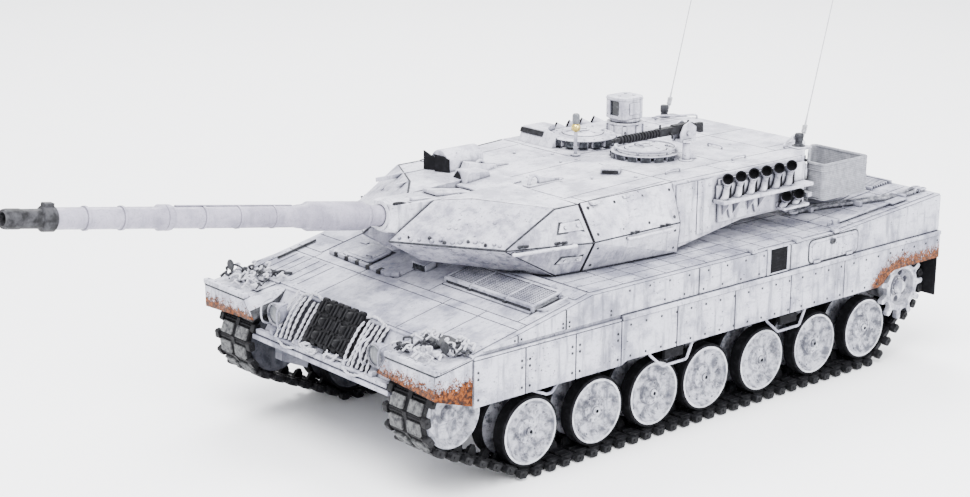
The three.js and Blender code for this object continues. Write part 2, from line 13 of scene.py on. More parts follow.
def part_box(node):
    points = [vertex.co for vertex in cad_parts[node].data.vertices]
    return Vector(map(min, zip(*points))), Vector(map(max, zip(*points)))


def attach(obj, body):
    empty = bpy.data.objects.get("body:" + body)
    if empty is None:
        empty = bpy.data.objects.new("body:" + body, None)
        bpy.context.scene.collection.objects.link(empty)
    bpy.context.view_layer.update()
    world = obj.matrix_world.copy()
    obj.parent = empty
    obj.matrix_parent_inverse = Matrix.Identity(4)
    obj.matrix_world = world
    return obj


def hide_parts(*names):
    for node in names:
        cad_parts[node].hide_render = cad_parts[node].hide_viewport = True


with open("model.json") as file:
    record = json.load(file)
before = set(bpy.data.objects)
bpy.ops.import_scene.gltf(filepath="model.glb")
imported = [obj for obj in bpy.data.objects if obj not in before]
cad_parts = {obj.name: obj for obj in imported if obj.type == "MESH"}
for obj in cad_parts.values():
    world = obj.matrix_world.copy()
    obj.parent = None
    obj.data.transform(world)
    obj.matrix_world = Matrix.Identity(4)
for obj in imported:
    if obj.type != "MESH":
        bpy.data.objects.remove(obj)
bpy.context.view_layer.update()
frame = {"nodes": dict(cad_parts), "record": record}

# Shapes are drawn in hull millimetres: X to the tank's left, Y backwards from the middle of the road-wheel
# row, Z up from the ground. MID_Y is that middle in the frame, so one shift and one scale place every piece.
MM = 0.001


def middle(node):
    """The middle of a CAD node's box, in the frame, in metres."""
    low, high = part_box(node)
    return (low + high) / 2


MID_Y = (middle("road_wheel_1_left").y + middle("road_wheel_7_left").y) / 2


def centre(node):
    """The middle of a CAD node's box, in hull millimetres."""
    point = middle(node)
    return point.x / MM, (point.y - MID_Y) / MM, point.z / MM


def reach(node):
    """Half the size of a CAD node's box along each axis, in millimetres."""
    low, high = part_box(node)
    return tuple((high - low) / 2 / MM)


def in_frame(x, y, z):
    return Vector((x * MM, y * MM + MID_Y, z * MM))


# ---- Camera, light and floor -----------------------------------------------------------------------------

def direction(azimuth, elevation):
    """The unit vector from the tank towards a viewer."""
    a, e = math.radians(azimuth), math.radians(elevation)
    return Vector((math.sin(a) * math.cos(e), -math.cos(a) * math.cos(e), math.sin(e)))


def add_camera(place, azimuth, elevation, roll, lens):
    camera = bpy.data.objects.new("camera", bpy.data.cameras.new("camera"))
    bpy.context.scene.collection.objects.link(camera)
    camera.data.lens = lens
    camera.data.clip_start, camera.data.clip_end = 0.01, 50
    facing = (-direction(azimuth, elevation)).to_track_quat("-Z", "Y").to_matrix().to_4x4()
    camera.matrix_world = Matrix.Translation(place) @ facing @ Matrix.Rotation(math.radians(roll), 4, "Z")
    bpy.context.scene.camera = camera


def add_area(name, azimuth, elevation, distance, size, power, colour=(1, 1, 1)):
    lamp = bpy.data.objects.new(name, bpy.data.lights.new(name, "AREA"))
    bpy.context.scene.collection.objects.link(lamp)
    lamp.data.shape, lamp.data.size, lamp.data.energy, lamp.data.color = "DISK", size, power, colour
    towards = direction(azimuth, elevation)
    lamp.location = towards * distance
    lamp.rotation_mode = "QUATERNION"
    lamp.rotation_quaternion = towards.to_track_quat("Z", "Y")


def add_studio():
    """A soft white room: a bright sky, three round lamps and a floor."""
    add_area("key", azimuth=35, elevation=64, distance=2.2, size=1.5, power=112)
    add_area("side", azimuth=100, elevation=28, distance=2.4, size=1.6, power=74, colour=(0.97, 0.98, 1))
    add_area("rim", azimuth=232, elevation=50, distance=2.4, size=1.2, power=60)
    world = bpy.data.worlds.new("studio")
    world.use_nodes = True
    sky = world.node_tree.nodes["Background"].inputs
    sky["Color"].default_value = (0.95, 0.96, 1, 1)
    sky["Strength"].default_value = 2.35
    bpy.context.scene.world = world
    floor_radius = 9
    bpy.ops.mesh.primitive_circle_add(vertices=64, radius=floor_radius, fill_type="NGON", location=(0, 0, 0))
    floor = bpy.context.object
    floor.name = "floor"
    floor.data.materials.append(floor_material())


# ---- Solids ----------------------------------------------------------------------------------------------

class Solid:
    """Closed shapes in hull millimetres, as points and faces."""

    def __init__(self, points=(), faces=()):
        self.points = np.array(points, float).reshape(-1, 3)
        self.faces = [tuple(face) for face in faces]

    def __add__(self, other):
        return together([self, other])

    def at(self, x=0.0, y=0.0, z=0.0):
        return Solid(self.points + (x, y, z), self.faces)

    def turned(self, axis, degrees, about=(0, 0, 0)):
        spin = np.array(Matrix.Rotation(math.radians(degrees), 3, axis))
        return Solid((self.points - about) @ spin.T + about, self.faces)

    def mirrored(self):
        """The same shape on the tank's other side."""
        return Solid(self.points * (-1, 1, 1), self.faces)


def together(solids):
    points, faces, start = [], [], 0
    for solid in solids:
        points.append(solid.points)
        faces += [tuple(i + start for i in face) for face in solid.faces]
        start += len(solid.points)
    return Solid(np.vstack(points), faces) if points else Solid()


def both_sides(solid):
    return solid + solid.mirrored()


def block(x0, x1, y0, y1, z0, z1):
    points = [(x, y, z) for x in (x0, x1) for y in (y0, y1) for z in (z0, z1)]
    return Solid(points, [(0, 1, 3, 2), (4, 6, 7, 5), (0, 4, 5, 1), (2, 3, 7, 6), (0, 2, 6, 4), (1, 5, 7, 3)])


def prism(outline, low, high, axis="x"):
    """An outline extruded along an axis: in (y, z) along x, in (x, z) along y, or in (x, y) along z."""
    order = {"x": (2, 0, 1), "y": (0, 2, 1), "z": (0, 1, 2)}[axis]
    count = len(outline)
    points = [[(a, b, h)[k] for k in order] for h in (low, high) for a, b in outline]
    ring = range(count)
    walls = [(i, (i + 1) % count, count + (i + 1) % count, count + i) for i in ring]
    return Solid(points, [tuple(ring), tuple(i + count for i in reversed(ring))] + walls)


def lathe(profile, sides, axis="z", ring=False):
    """A profile of (radius, height) turned about an axis through the origin."""
    points, rows = [], []
    for radius, height in profile:
        if radius < 1e-6:
            rows.append([len(points)] * sides)
            points.append((0, 0, height))
            continue
        rows.append([len(points) + i for i in range(sides)])
        for i in range(sides):
            angle = 2 * math.pi * i / sides
            points.append((radius * math.cos(angle), radius * math.sin(angle), height))
    faces = []
    pairs = list(zip(rows, rows[1:])) + ([(rows[-1], rows[0])] if ring else [])
    for a, b in pairs:
        for i in range(sides):
            j = (i + 1) % sides
            face = list(dict.fromkeys([a[i], a[j], b[j], b[i]]))
            if len(face) > 2:
                faces.append(face)
    made = Solid(points, faces)
    if axis == "x":
        return made.turned("Y", 90)
    return made.turned("X", 90) if axis == "y" else made


def rod(radius, low, high, sides=16, axis="z", soft=0.0):
    """A round bar along an axis, with its rims softened. Along y it runs towards the front."""
    profile = [(0, low), (radius - soft, low), (radius, low + soft), (radius, high - soft),
               (radius - soft, high)]
    if not soft:
        profile = [(0, low), (radius, low), (radius, high)]
    return lathe(profile + [(0, high)], sides, axis)


def tube(path, radius, sides=8, closed=False):
    """A round rod or rope along a path of points."""
    path = [Vector(p) for p in path]
    count = len(path)
    points, normal = [], None
    for i, here in enumerate(path):
        after = path[(i + 1) % count] if closed else path[min(i + 1, count - 1)]
        before = path[i - 1] if closed or i else path[0]
        along = (after - before).normalized()
        if normal is None:
            normal = along.orthogonal().normalized()
        normal = (normal - along * normal.dot(along)).normalized()
        other = along.cross(normal)
        for k in range(sides):
            angle = 2 * math.pi * k / sides
            points.append(here + (normal * math.cos(angle) + other * math.sin(angle)) * radius)
    faces = []
    for i in range(count if closed else count - 1):
        a, b = i * sides, (i + 1) % count * sides
        faces += [(a + k, a + (k + 1) % sides, b + (k + 1) % sides, b + k) for k in range(sides)]
    if not closed:
        faces += [tuple(range(sides)), tuple(range(len(points) - 1, len(points) - sides - 1, -1))]
    return Solid(points, faces)


def curve(points, steps=6):
    """A smooth path through the points."""
    points = [Vector(p) for p in points]
    ends = [2 * points[0] - points[1]] + points + [2 * points[-1] - points[-2]]
    path = []
    for a, b, c, d in zip(ends, ends[1:], ends[2:], ends[3:]):
        for i in range(steps):
            t = i / steps
            path.append(0.5 * (2 * b + (c - a) * t + (2 * a - 5 * b + 4 * c - d) * t * t
                               + (3 * b - a - 3 * c + d) * t * t * t))
    return path + [points[-1]]


def bar(start, end, radius, sides=8):
    return tube([start, end], radius, sides)


def worked(solid, work):
    """Runs mesh work on a solid and reads it back."""
    mesh = bmesh.new()
    verts = [mesh.verts.new(p) for p in solid.points]
    for face in solid.faces:
        mesh.faces.new([verts[i] for i in face])
    work(mesh)
    mesh.verts.index_update()
    made = Solid([v.co for v in mesh.verts], [[v.index for v in f.verts] for f in mesh.faces])
    mesh.free()
    return made


def face_outwards(mesh):
    bmesh.ops.recalc_face_normals(mesh, faces=mesh.faces)


def convex(points, flat=1.0):
    """The convex hull of the points, with faces that lie within flat degrees joined."""
    def work(mesh):
        made = bmesh.ops.convex_hull(mesh, input=mesh.verts, use_existing_faces=False)
        spare = [v for v in made["geom_unused"] + made["geom_interior"] if isinstance(v, bmesh.types.BMVert)]
        bmesh.ops.delete(mesh, geom=list(set(spare)), context="VERTS")
        bmesh.ops.dissolve_limit(mesh, angle_limit=math.radians(flat), verts=mesh.verts, edges=mesh.edges)
    return worked(Solid(points), work)


def bevelled(solid, width, segments=2, sharper_than=24):
    """A solid with its sharp edges rounded."""
    def work(mesh):
        face_outwards(mesh)
        limit = math.radians(sharper_than)
        edges = [e for e in mesh.edges if e.is_manifold and e.calc_face_angle(0) > limit]
        bmesh.ops.bevel(mesh, geom=edges, offset=width, segments=segments, profile=0.6, affect="EDGES",
                        clamp_overlap=True)
    return worked(solid, work)


def brick(x0, x1, y0, y1, z0, z1, edge, segments=2):
    """A block with its edges rounded."""
    return bevelled(block(x0, x1, y0, y1, z0, z1), edge, segments)


def spanned(x0, x1, outline):
    """The convex shape of an outline in (y, z) that runs from x0 to x1."""
    return convex([(x, y, z) for x in (x0, x1) for y, z in outline])


def as_object(name, solid):
    mesh = bpy.data.meshes.new(name)
    mesh.from_pydata([tuple(p) for p in solid.points], [], solid.faces)
    made = bpy.data.objects.new(name, mesh)
    bpy.context.scene.collection.objects.link(made)
    return made


def carved(solid, *cutters):
    """A solid with the cutters taken out of it."""
    body = as_object("carved", worked(solid, face_outwards))
    tool = as_object("cutter", worked(together(cutters), face_outwards))
    boolean = body.modifiers.new("cut", "BOOLEAN")
    boolean.operation, boolean.solver, boolean.object = "DIFFERENCE", "EXACT", tool
    boolean.use_self = True
    mesh = body.evaluated_get(bpy.context.evaluated_depsgraph_get()).to_mesh()
    made = Solid([v.co for v in mesh.vertices], [tuple(f.vertices) for f in mesh.polygons])
    for spare in (body, tool):
        data = spare.data
        bpy.data.objects.remove(spare)
        bpy.data.meshes.remove(data)
    return made


SMOOTH_BELOW = math.radians(42)


def piece(name, solid, body, finish, replaces=()):
    """A finished piece: in the frame, in metres, riding on its body."""
    ready = worked(solid, face_outwards)
    made = as_object(name, Solid(ready.points * MM + (0, MID_Y, 0), ready.faces))
    made.data.materials.append(FINISH[finish])
    made.data.shade_smooth()
    made.data.set_sharp_from_angle(angle=SMOOTH_BELOW)
    weighted = made.modifiers.new("normals", "WEIGHTED_NORMAL")
    weighted.keep_sharp = True
    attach(made, body)
    if replaces:
        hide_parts(*replaces)


def bolt(radius=0.75, height=0.5):
    """A domed six-sided bolt head standing on z = 0."""
    return lathe([(0, -0.3), (radius, -0.3), (radius, height * 0.55), (radius * 0.6, height), (0, height)], 6)


def side_bolts(spots, x, radius=0.75, height=0.5, facing=90):
    """Bolt heads on a side wall at x, at (y, z) spots, pointing outwards for 90 and inwards for -90."""
    head = bolt(radius, height).turned("Y", facing)
    return together([head.at(x, y, z) for y, z in spots])


def circle(count, radius, start=0.0):
    """Points spaced evenly round a circle."""
    return [(radius * math.cos(a), radius * math.sin(a)) for a in np.arange(count) * math.tau / count + start]


SIDES = {"left": 1, "right": -1}


def on_side(solid, side):
    return solid if side == "left" else solid.mirrored()


# ---- Finishes --------------------------------------------------------------------------------------------

class Finish:
    """A procedural material. Its noise is laid out in the frame's coordinates, at sizes in millimetres."""

    def __init__(self, name, roughness=0.5, metallic=0.0):
        self.material = bpy.data.materials.new(name)
        self.material.use_nodes = True
        self.nodes = self.material.node_tree.nodes
        self.links = self.material.node_tree.links
        self.shader = self.nodes["Principled BSDF"]
        self.shader.inputs["Roughness"].default_value = roughness
        self.shader.inputs["Metallic"].default_value = metallic
        self.shader.inputs["Specular IOR Level"].default_value = 0.12
        self.place = self.node("ShaderNodeTexCoord").outputs["Object"]
        parts = self.node("ShaderNodeSeparateXYZ", inputs={0: self.place}).outputs
        self.x, self.y, self.z = parts[0], parts[1], parts[2]

    def node(self, kind, inputs=None, **settings):
        made = self.nodes.new(kind)
        for key, value in settings.items():
            setattr(made, key, value)
        for key, value in (inputs or {}).items():
            self.feed(made.inputs[key], value)
        return made

    def feed(self, socket, value):
        if isinstance(value, bpy.types.NodeSocket):
            self.links.new(value, socket)
        else:
            socket.default_value = value

    def calc(self, operation, a, b=0.0):
        return self.node("ShaderNodeMath", {0: a, 1: b}, operation=operation).outputs[0]

    def times(self, a, b):
        return self.calc("MULTIPLY", a, b)

    def plus(self, a, b):
        return self.calc("ADD", a, b)

    def minus(self, a, b):
        return self.calc("SUBTRACT", a, b)

    def noise(self, size, detail=3.0, roughness=0.55, stretch=(1, 1, 1)):
        """Noise from 0 to 1 with features of that size, drawn out along an axis whose stretch is over 1."""
        scale = [1 / (size * MM * s) for s in stretch]
        spot = self.node("ShaderNodeVectorMath", {0: self.place, 1: scale}, operation="MULTIPLY").outputs[0]
        made = self.node("ShaderNodeTexNoise", {"Vector": spot, "Scale": 1.0, "Detail": detail,
                                                "Roughness": roughness})
        return made.outputs["Fac"]

    def step(self, value, low, high, top=1.0):
        """0 below low and top above high, with a smooth change between them."""
        made = self.node("ShaderNodeMapRange", {0: value, 1: low, 2: high, 3: 0.0, 4: top},
                         interpolation_type="SMOOTHSTEP")
        return made.outputs[0]

    def mix(self, share, a, b):
        a, b = [c if isinstance(c, bpy.types.NodeSocket) else (*c, 1.0) for c in (a, b)]
        return self.node("ShaderNodeMix", {0: share, 6: a, 7: b}, data_type="RGBA").outputs[2]

    def cavity(self, distance):
        """Near 1 in corners and seams, and 0 in the open: an occlusion measure used to paint shade into
        hollows.
        """
        found = self.node("ShaderNodeAmbientOcclusion", {"Distance": distance * MM}, samples=6)
        return self.minus(1.0, found.outputs["AO"])

    def facing(self, axis):
        """How far the surface faces along an axis: 0 for X, 1 for Y or 2 for Z."""
        normal = self.node("ShaderNodeNewGeometry").outputs["Normal"]
        return self.node("ShaderNodeSeparateXYZ", {0: normal}).outputs[axis]

    def bump(self, height, depth, strength=1.0):
        made = self.node("ShaderNodeBump", {"Height": height, "Distance": depth * MM, "Strength": strength})
        self.feed(self.shader.inputs["Normal"], made.outputs[0])

    def done(self, colour, roughness=None):
        self.feed(self.shader.inputs["Base Color"], colour)
        if roughness is not None:
            self.feed(self.shader.inputs["Roughness"], roughness)
        return self.material


# Dark tones for stains, grit and chips, also used to paint shade into corners, seams and inward-facing faces.
WASH_AND_SHADE = (0.022, 0.0235, 0.032)
STAIN_AND_SHADE = (0.085, 0.089, 0.112)
RUST_LIGHT = (0.15, 0.038, 0.004)
RUST_DARK = (0.012, 0.003, 0.001)


def winter_paint(name, base, shade, streaks=0.5, chips=0.3, roughness=0.5, rust=None, patch=26, inward_shade=0.0):
    """Sprayed white paint: a cloudy wash in patches of that size, streaks down upright faces, chips and any
    rust, with painted shade, partly grime as well, darkening its corners and seams. The last argument sets
    how much painted shade darkens the faces that look towards the tank's middle.
    """
    # Strength of the painted shade in corners and seams, which also stands for grime gathered there.
    shade_and_grime = 0.9
    f = Finish(name)
    clouds = f.step(f.noise(patch, 6, 0.66), 0.4, 0.64)
    colour = f.mix(f.times(clouds, 0.85), base, shade)
    upright = f.step(f.facing(2), 0.75, 0.2)
    runs = f.step(f.noise(5, 4, 0.6, (1, 1, 7)), 0.48, 0.68)
    smears = f.step(f.noise(2.4, 4, 0.65, (1, 5, 1.4)), 0.52, 0.7)
    marks = f.calc("MAXIMUM", f.times(runs, upright), f.times(smears, 0.7))
    colour = f.mix(f.times(marks, streaks), colour, STAIN_AND_SHADE)
    grit = f.step(f.noise(0.9, 3, 0.7), 0.5, 0.78)
    colour = f.mix(f.times(grit, 0.6), colour, STAIN_AND_SHADE)
    flecks = f.step(f.noise(1.3, 2, 0.6, (1, 1.8, 1)), 0.63, 0.7)
    thin = f.step(f.noise(18, 2), 0.45, 0.62)
    colour = f.mix(f.times(f.times(flecks, thin), chips), colour, WASH_AND_SHADE)
    # Painted shade, partly grime: a wide occlusion darkens corners and recesses where shade falls.
    shaded = f.times(f.step(f.cavity(8), 0.12, 0.8), 0.5 * shade_and_grime)
    colour = f.mix(shaded, colour, STAIN_AND_SHADE)
    # Painted shade, partly dirt: a tight occlusion darkens seams and creases.
    seams = f.times(f.step(f.cavity(2.2), 0.12, 0.5), shade_and_grime)
    colour = f.mix(seams, colour, WASH_AND_SHADE)
    # Painted shade: faces turned towards the tank's middle, where little light reaches, are darkened.
    if inward_shade:
        inward_shade_mask = f.step(f.times(f.facing(0), f.calc("SIGN", f.x)), 0.15, -0.35, inward_shade)
        colour = f.mix(inward_shade_mask, colour, WASH_AND_SHADE)
    if rust is not None:
        share = rust(f)
        tint = f.mix(f.step(f.noise(2.2, 5, 0.75), 0.4, 0.58), RUST_LIGHT, RUST_DARK)
        colour = f.mix(share, colour, tint)
    grain = f.plus(f.times(f.noise(0.7, 4, 0.65), 0.5), f.times(clouds, 0.5))
    f.bump(grain, 0.05, 0.6)
    return f.done(colour, f.step(f.noise(6, 3), 0.2, 0.8, roughness + 0.18))


def eaten(f, height, edge):
    """Rust below an edge: solid at the bottom, breaking into patches and then into specks further up."""
    ragged = f.times(f.minus(f.noise(5, 4, 0.7), 0.5), 22 * MM)
    specks = f.times(f.minus(f.noise(0.9, 3, 0.75), 0.5), 26 * MM)
    level = f.plus(height, f.plus(ragged, specks))
    return f.step(level, (edge + 0.7) * MM, (edge - 1.2) * MM)


def front_rust(f):
    """Rust that eats up from the lower front edge of the mudguards."""
    top_edge = 77
    return eaten(f, f.z, top_edge)


def arch_rust(f):
    """Rust along the cut-out of the rear skirt, over the drive sprocket."""
    top_edge, slope, level_from = 79, 0.62, 160
    begins, full = 134, 142
    behind = f.calc("MINIMUM", f.minus(f.y, MID_Y + level_from * MM), 0.0)
    arch = f.plus(f.z, f.times(behind, -slope))
    return f.times(eaten(f, arch, top_edge), f.step(f.y, MID_Y + begins * MM, MID_Y + full * MM))


def rubber(name, colour, dust, roughness=0.85):
    f = Finish(name, roughness)
    f.shader.inputs["Specular IOR Level"].default_value = 0.08
    worn = f.step(f.noise(4, 5, 0.65), 0.45, 0.75)
    f.bump(f.noise(0.5, 3, 0.6), 0.06, 0.7)
    return f.done(f.mix(f.times(worn, 0.6), colour, dust))


def track_metal():
    f = Finish("track_black", 0.6)
    f.shader.inputs["Specular IOR Level"].default_value = 0.15
    dust = f.step(f.noise(5, 5, 0.7), 0.45, 0.7)
    colour = f.mix(f.times(dust, 0.55), (0.004, 0.004, 0.005), (0.02, 0.02, 0.022))
    bare = f.step(f.noise(1.4, 4, 0.7), 0.62, 0.72)
    f.bump(f.noise(0.6, 4, 0.6), 0.08, 0.8)
    return f.done(f.mix(f.times(bare, 0.35), colour, (0.12, 0.12, 0.13)))


def track_pad():
    f = Finish("track_pad", 0.85)
    pale = f.step(f.noise(3, 5, 0.7), 0.35, 0.65)
    colour = f.mix(pale, (0.03, 0.03, 0.033), (0.125, 0.127, 0.127))
    # Painted shade: the pads darken in their hollows and between their blocks.
    colour = f.mix(f.step(f.cavity(1.5), 0.1, 0.6), colour, (0.02, 0.02, 0.022))
    f.bump(f.noise(0.8, 4, 0.65), 0.12, 0.9)
    return f.done(colour)


def plain_paint(name, colour, other, roughness=0.5, metallic=0.0, size=3.0):
    """A painted or moulded surface with a fine mottle and a slight orange peel."""
    f = Finish(name, roughness, metallic)
    mottle = f.step(f.noise(size, 5, 0.65), 0.35, 0.7)
    f.bump(f.noise(0.6, 3, 0.6), 0.04, 0.6)
    return f.done(f.mix(mottle, colour, other))


def bin_finish():
    """Grey plastic moulded with a fine woven-wire pattern and dusted white."""
    f = Finish("bin_grey", 0.6)
    wire_pitch = 1.3 * MM
    across = [f.node("ShaderNodeMath", {0: f.times(v, 2 * math.pi / wire_pitch)},
                     operation="SINE").outputs[0] for v in (f.plus(f.x, f.y), f.z)]
    wires = f.step(f.calc("MAXIMUM", *across), 0.35, 0.95)
    patchy = f.step(f.noise(4, 5, 0.7), 0.3, 0.7)
    colour = f.mix(f.times(patchy, 0.7), (0.32, 0.323, 0.355), (0.11, 0.113, 0.13))
    colour = f.mix(f.times(f.minus(1.0, wires), 0.45), colour, (0.08, 0.083, 0.095))
    f.bump(wires, 0.12, 0.7)
    return f.done(colour)


def glass(name, colour, roughness=0.06):
    f = Finish(name, roughness)
    f.shader.inputs["Coat Weight"].default_value = 0.3
    smear = f.step(f.noise(2.5, 4, 0.6), 0.45, 0.8)
    return f.done(f.mix(f.times(smear, 0.25), colour, (0.25, 0.27, 0.3)))


def board_finish():
    f = Finish("circuit_board", 0.35)
    lines = f.node("ShaderNodeTexBrick", {"Vector": f.place, "Scale": 160.0,
                                          "Mortar Size": 0.03}).outputs["Fac"]
    return f.done(f.mix(lines, (0.012, 0.11, 0.045), (0.45, 0.36, 0.12)))


def floor_material():
    f = Finish("floor", 0.7)
    grain = f.step(f.noise(60, 4), 0.3, 0.7)
    return f.done(f.mix(f.times(grain, 0.5), (0.95, 0.95, 0.955), (0.94, 0.94, 0.945)))


def make_finishes():
    # The white paint comes in copies of different brightness by region. The darker deck and glacis copy and
    # the darker tub and wheel-dish copies stand partly for grime and partly for painted shade where less
    # light falls; the lighter rim copy is partly a painted highlight on lips that catch the light.
    deck = dict(base=(0.4, 0.4, 0.46), shade=(0.135, 0.137, 0.18))
    side = dict(base=(0.45, 0.45, 0.51), shade=(0.165, 0.167, 0.21))
    turret = dict(base=(0.55, 0.545, 0.605), shade=(0.27, 0.267, 0.32))
    return {
        "hull": winter_paint("hull_paint", streaks=0.65, chips=0.9, **deck),
        "front": winter_paint("front_rust_paint", streaks=0.6, chips=0.8, rust=front_rust, **side),
        "skirt": winter_paint("skirt_paint", streaks=0.6, chips=1.0, rust=arch_rust, **side),
        "turret": winter_paint("turret_paint", streaks=0.6, chips=0.85, roughness=0.45, **turret),
        "wedge": winter_paint("turret_face_paint", (0.42, 0.415, 0.47), (0.16, 0.158, 0.2), streaks=0.7,
                              chips=0.8, patch=16),
        "gun": winter_paint("gun_paint", (0.3, 0.284, 0.345), (0.19, 0.18, 0.225), streaks=0.3, chips=0.2,
                            roughness=0.42),
        "wheel": winter_paint("wheel_paint", (0.46, 0.464, 0.515), (0.028, 0.03, 0.042), streaks=0.7,
                              chips=1.0, roughness=0.4, patch=6, inward_shade=0.85),
        "rim": winter_paint("wheel_rim_paint", (0.62, 0.625, 0.66), (0.34, 0.344, 0.385), streaks=0.35,
                            patch=5),
        "sprocket": winter_paint("sprocket_paint", (0.56, 0.56, 0.61), (0.15, 0.152, 0.19), streaks=0.6,
                                 chips=0.8, inward_shade=0.8, patch=8),
        "tyre": rubber("tyre_rubber", (0.005, 0.005, 0.006), (0.02, 0.02, 0.023)),
        "flap": rubber("black_rubber", (0.005, 0.005, 0.006), (0.016, 0.016, 0.019)),
        "track": track_metal(),
        "pad": track_pad(),
        "arm": plain_paint("suspension_grey", (0.012, 0.0125, 0.015), (0.045, 0.046, 0.052), 0.5),
        "dark": plain_paint("dark_metal", (0.005, 0.005, 0.006), (0.018, 0.018, 0.021), 0.5),
        "muzzle": plain_paint("muzzle_black", (0.008, 0.008, 0.009), (0.045, 0.045, 0.05), 0.5, 0.0, 5),
        "whip": plain_paint("antenna_whip", (0.3, 0.3, 0.32), (0.42, 0.42, 0.44), 0.5),
        "brass": plain_paint("brass_ball", (0.55, 0.42, 0.1), (0.75, 0.62, 0.22), 0.25, 1.0),
        "optic": glass("optic_glass", (0.008, 0.009, 0.012)),
        "lamp": glass("lamp_glass", (0.1, 0.105, 0.115), 0.12),
        "net": rubber("net_cord", (0.42, 0.42, 0.46), (0.12, 0.12, 0.145), 0.8),
        "canvas": rubber("canvas", (0.014, 0.014, 0.018), (0.05, 0.05, 0.062), 0.85),
        "cable": plain_paint("tow_cable", (0.06, 0.062, 0.075), (0.28, 0.28, 0.315), 0.5),
        "tub": winter_paint("tub_paint", (0.24, 0.243, 0.28), (0.1, 0.103, 0.125), streaks=0.7, chips=0.6),
        "bin": bin_finish(),
        "gearbox": plain_paint("gearbox_metal", (0.25, 0.26, 0.28), (0.4, 0.41, 0.43), 0.4, 0.7),
        "battery": plain_paint("battery_wrap", (0.03, 0.07, 0.32), (0.05, 0.1, 0.4), 0.3),
        "board": board_finish(),
        "switch": plain_paint("switch_black", (0.015, 0.015, 0.015), (0.03, 0.03, 0.03), 0.5),
    }


FINISH = make_finishes()


# ---- Running gear ----------------------------------------------------------------------------------------

WHEELS = 7
WHEEL_R = reach("road_wheel_1_left")[2]
IDLER_R = reach("idler_left")[2]
TOOTH_TIP_R = reach("sprocket_left")[2]
TRACK_INNER_AT_SPROCKET = TOOTH_TIP_R - 5.6
TRACK_T = 5.2
LINK_PITCH = 11.5
SPROCKET_TEETH = 11
FIRST_TOOTH = 0.052  # the first tooth's angle from +Y towards +Z, in radians
RING_X = 16.9  # a toothed ring's distance from the track's centre plane
WHEEL_SIDES = 64


def belt_circles(side):
    """The circles that the track's inner face lies on, as (y, z, radius), in order from the front wheel."""
    first, last = centre(f"road_wheel_1_{side}"), centre(f"road_wheel_{WHEELS}_{side}")
    drive, idle = centre(f"sprocket_{side}"), centre(f"idler_{side}")
    contact_gap = 0.33
    return [(*first[1:], WHEEL_R + contact_gap), (*last[1:], WHEEL_R + contact_gap),
            (*drive[1:], TRACK_INNER_AT_SPROCKET), (*idle[1:], IDLER_R + contact_gap)]


def belt_walk(circles, offset):
    """The belt's line, offset outwards, as stretches of (length, function from distance to (y, z, angle))."""
    circles = [(y, z, r + offset) for y, z, r in circles]
    leaving = []
    for (y0, z0, r0), (y1, z1, r1) in zip(circles, circles[1:] + circles[:1]):
        leaving.append(math.atan2(z1 - z0, y1 - y0) - math.pi / 2
                       + math.asin((r0 - r1) / math.hypot(y1 - y0, z1 - z0)))
    walk = []
    for i, (y, z, r) in enumerate(circles):
        start, end = leaving[i - 1], leaving[i]
        while end < start:
            end += 2 * math.pi

        def arc(s, y=y, z=z, r=r, start=start):
            angle = start + s / r
            return y + r * math.cos(angle), z + r * math.sin(angle), angle
        walk.append((r * (end - start), arc))
        ahead = circles[(i + 1) % len(circles)]
        from_point = (y + r * math.cos(end), z + r * math.sin(end))
        to_point = (ahead[0] + ahead[2] * math.cos(end), ahead[1] + ahead[2] * math.sin(end))
        length = math.dist(from_point, to_point)

        def line(s, a=from_point, b=to_point, angle=end, length=length):
            return a[0] + (b[0] - a[0]) * s / length, a[1] + (b[1] - a[1]) * s / length, angle
        walk.append((length, line))
    return walk


def along_belt(walk, distance):
    distance %= sum(length for length, _ in walk)
    for length, point in walk:
        if distance <= length:
            return point(distance)
        distance -= length
    return walk[0][1](0)


def first_tooth_distance(walk):
    """How far along the belt the sprocket's first tooth stands on its arc."""
    start = sum(length for length, _ in walk[:4])
    length, arc = walk[4]
    begin = arc(0)[2]
    radius = length / (arc(length)[2] - begin)
    turn = (FIRST_TOOTH - begin) % (2 * math.pi)
    return start + turn * radius


def link_pieces():
    """One track link about the origin: Y along the track and Z outwards from the wheels."""
    shoe = brick(-14.4, 14.4, -4.6, 4.6, 0.5, 3.5, 0.5)
    rib = together([block(x - 0.8, x + 0.8, -4.4, 4.4, -0.1, 0.6) for x in (-12, -6.5, 6.5, 12)])
    horn = bevelled(convex([(x * w, y * d, z) for x in (-1, 1) for y in (-1, 1)
                            for w, d, z in ((1.5, 3.4, 0.8), (1.4, 2.6, -3.2), (0.7, 1.0, -5.3))]), 0.3)
    grouser = together([brick(x0, x1, -4.9, -4.0, 3.2, 4.3, 0.2) for x0, x1 in ((-14, -1.8), (1.8, 14))])
    pads = together([brick(x0, x1, -3.5, 4.1, 3.3, TRACK_T, 0.55) for x0, x1 in ((-13.6, -2.2), (2.2, 13.6))])
    pin = rod(1.25, -16.5, 16.5, 10, "x").at(z=2.1, y=LINK_PITCH / 2)
    connector = bevelled(prism([(y * 0.9, z) for y, z in ((-3.4, 1.0), (-2.6, 0.1), (2.6, 0.1), (3.4, 1.0),
                                                          (3.4, 3.4), (2.4, 4.6), (-2.4, 4.6), (-3.4, 3.4))],
                               15.2, 19.4), 0.35)
    wedge_bolt = rod(0.8, 19.3, 19.9, 8, "x").at(z=2.3)
    middle_link = brick(-1.9, 1.9, -2.7, 2.7, 0.6, 3.9, 0.4)
    joint = together([connector, connector.mirrored(), wedge_bolt, wedge_bolt.mirrored(), middle_link])
    return together([shoe, rib, horn, grouser, pin, joint.at(y=LINK_PITCH / 2)]), pads


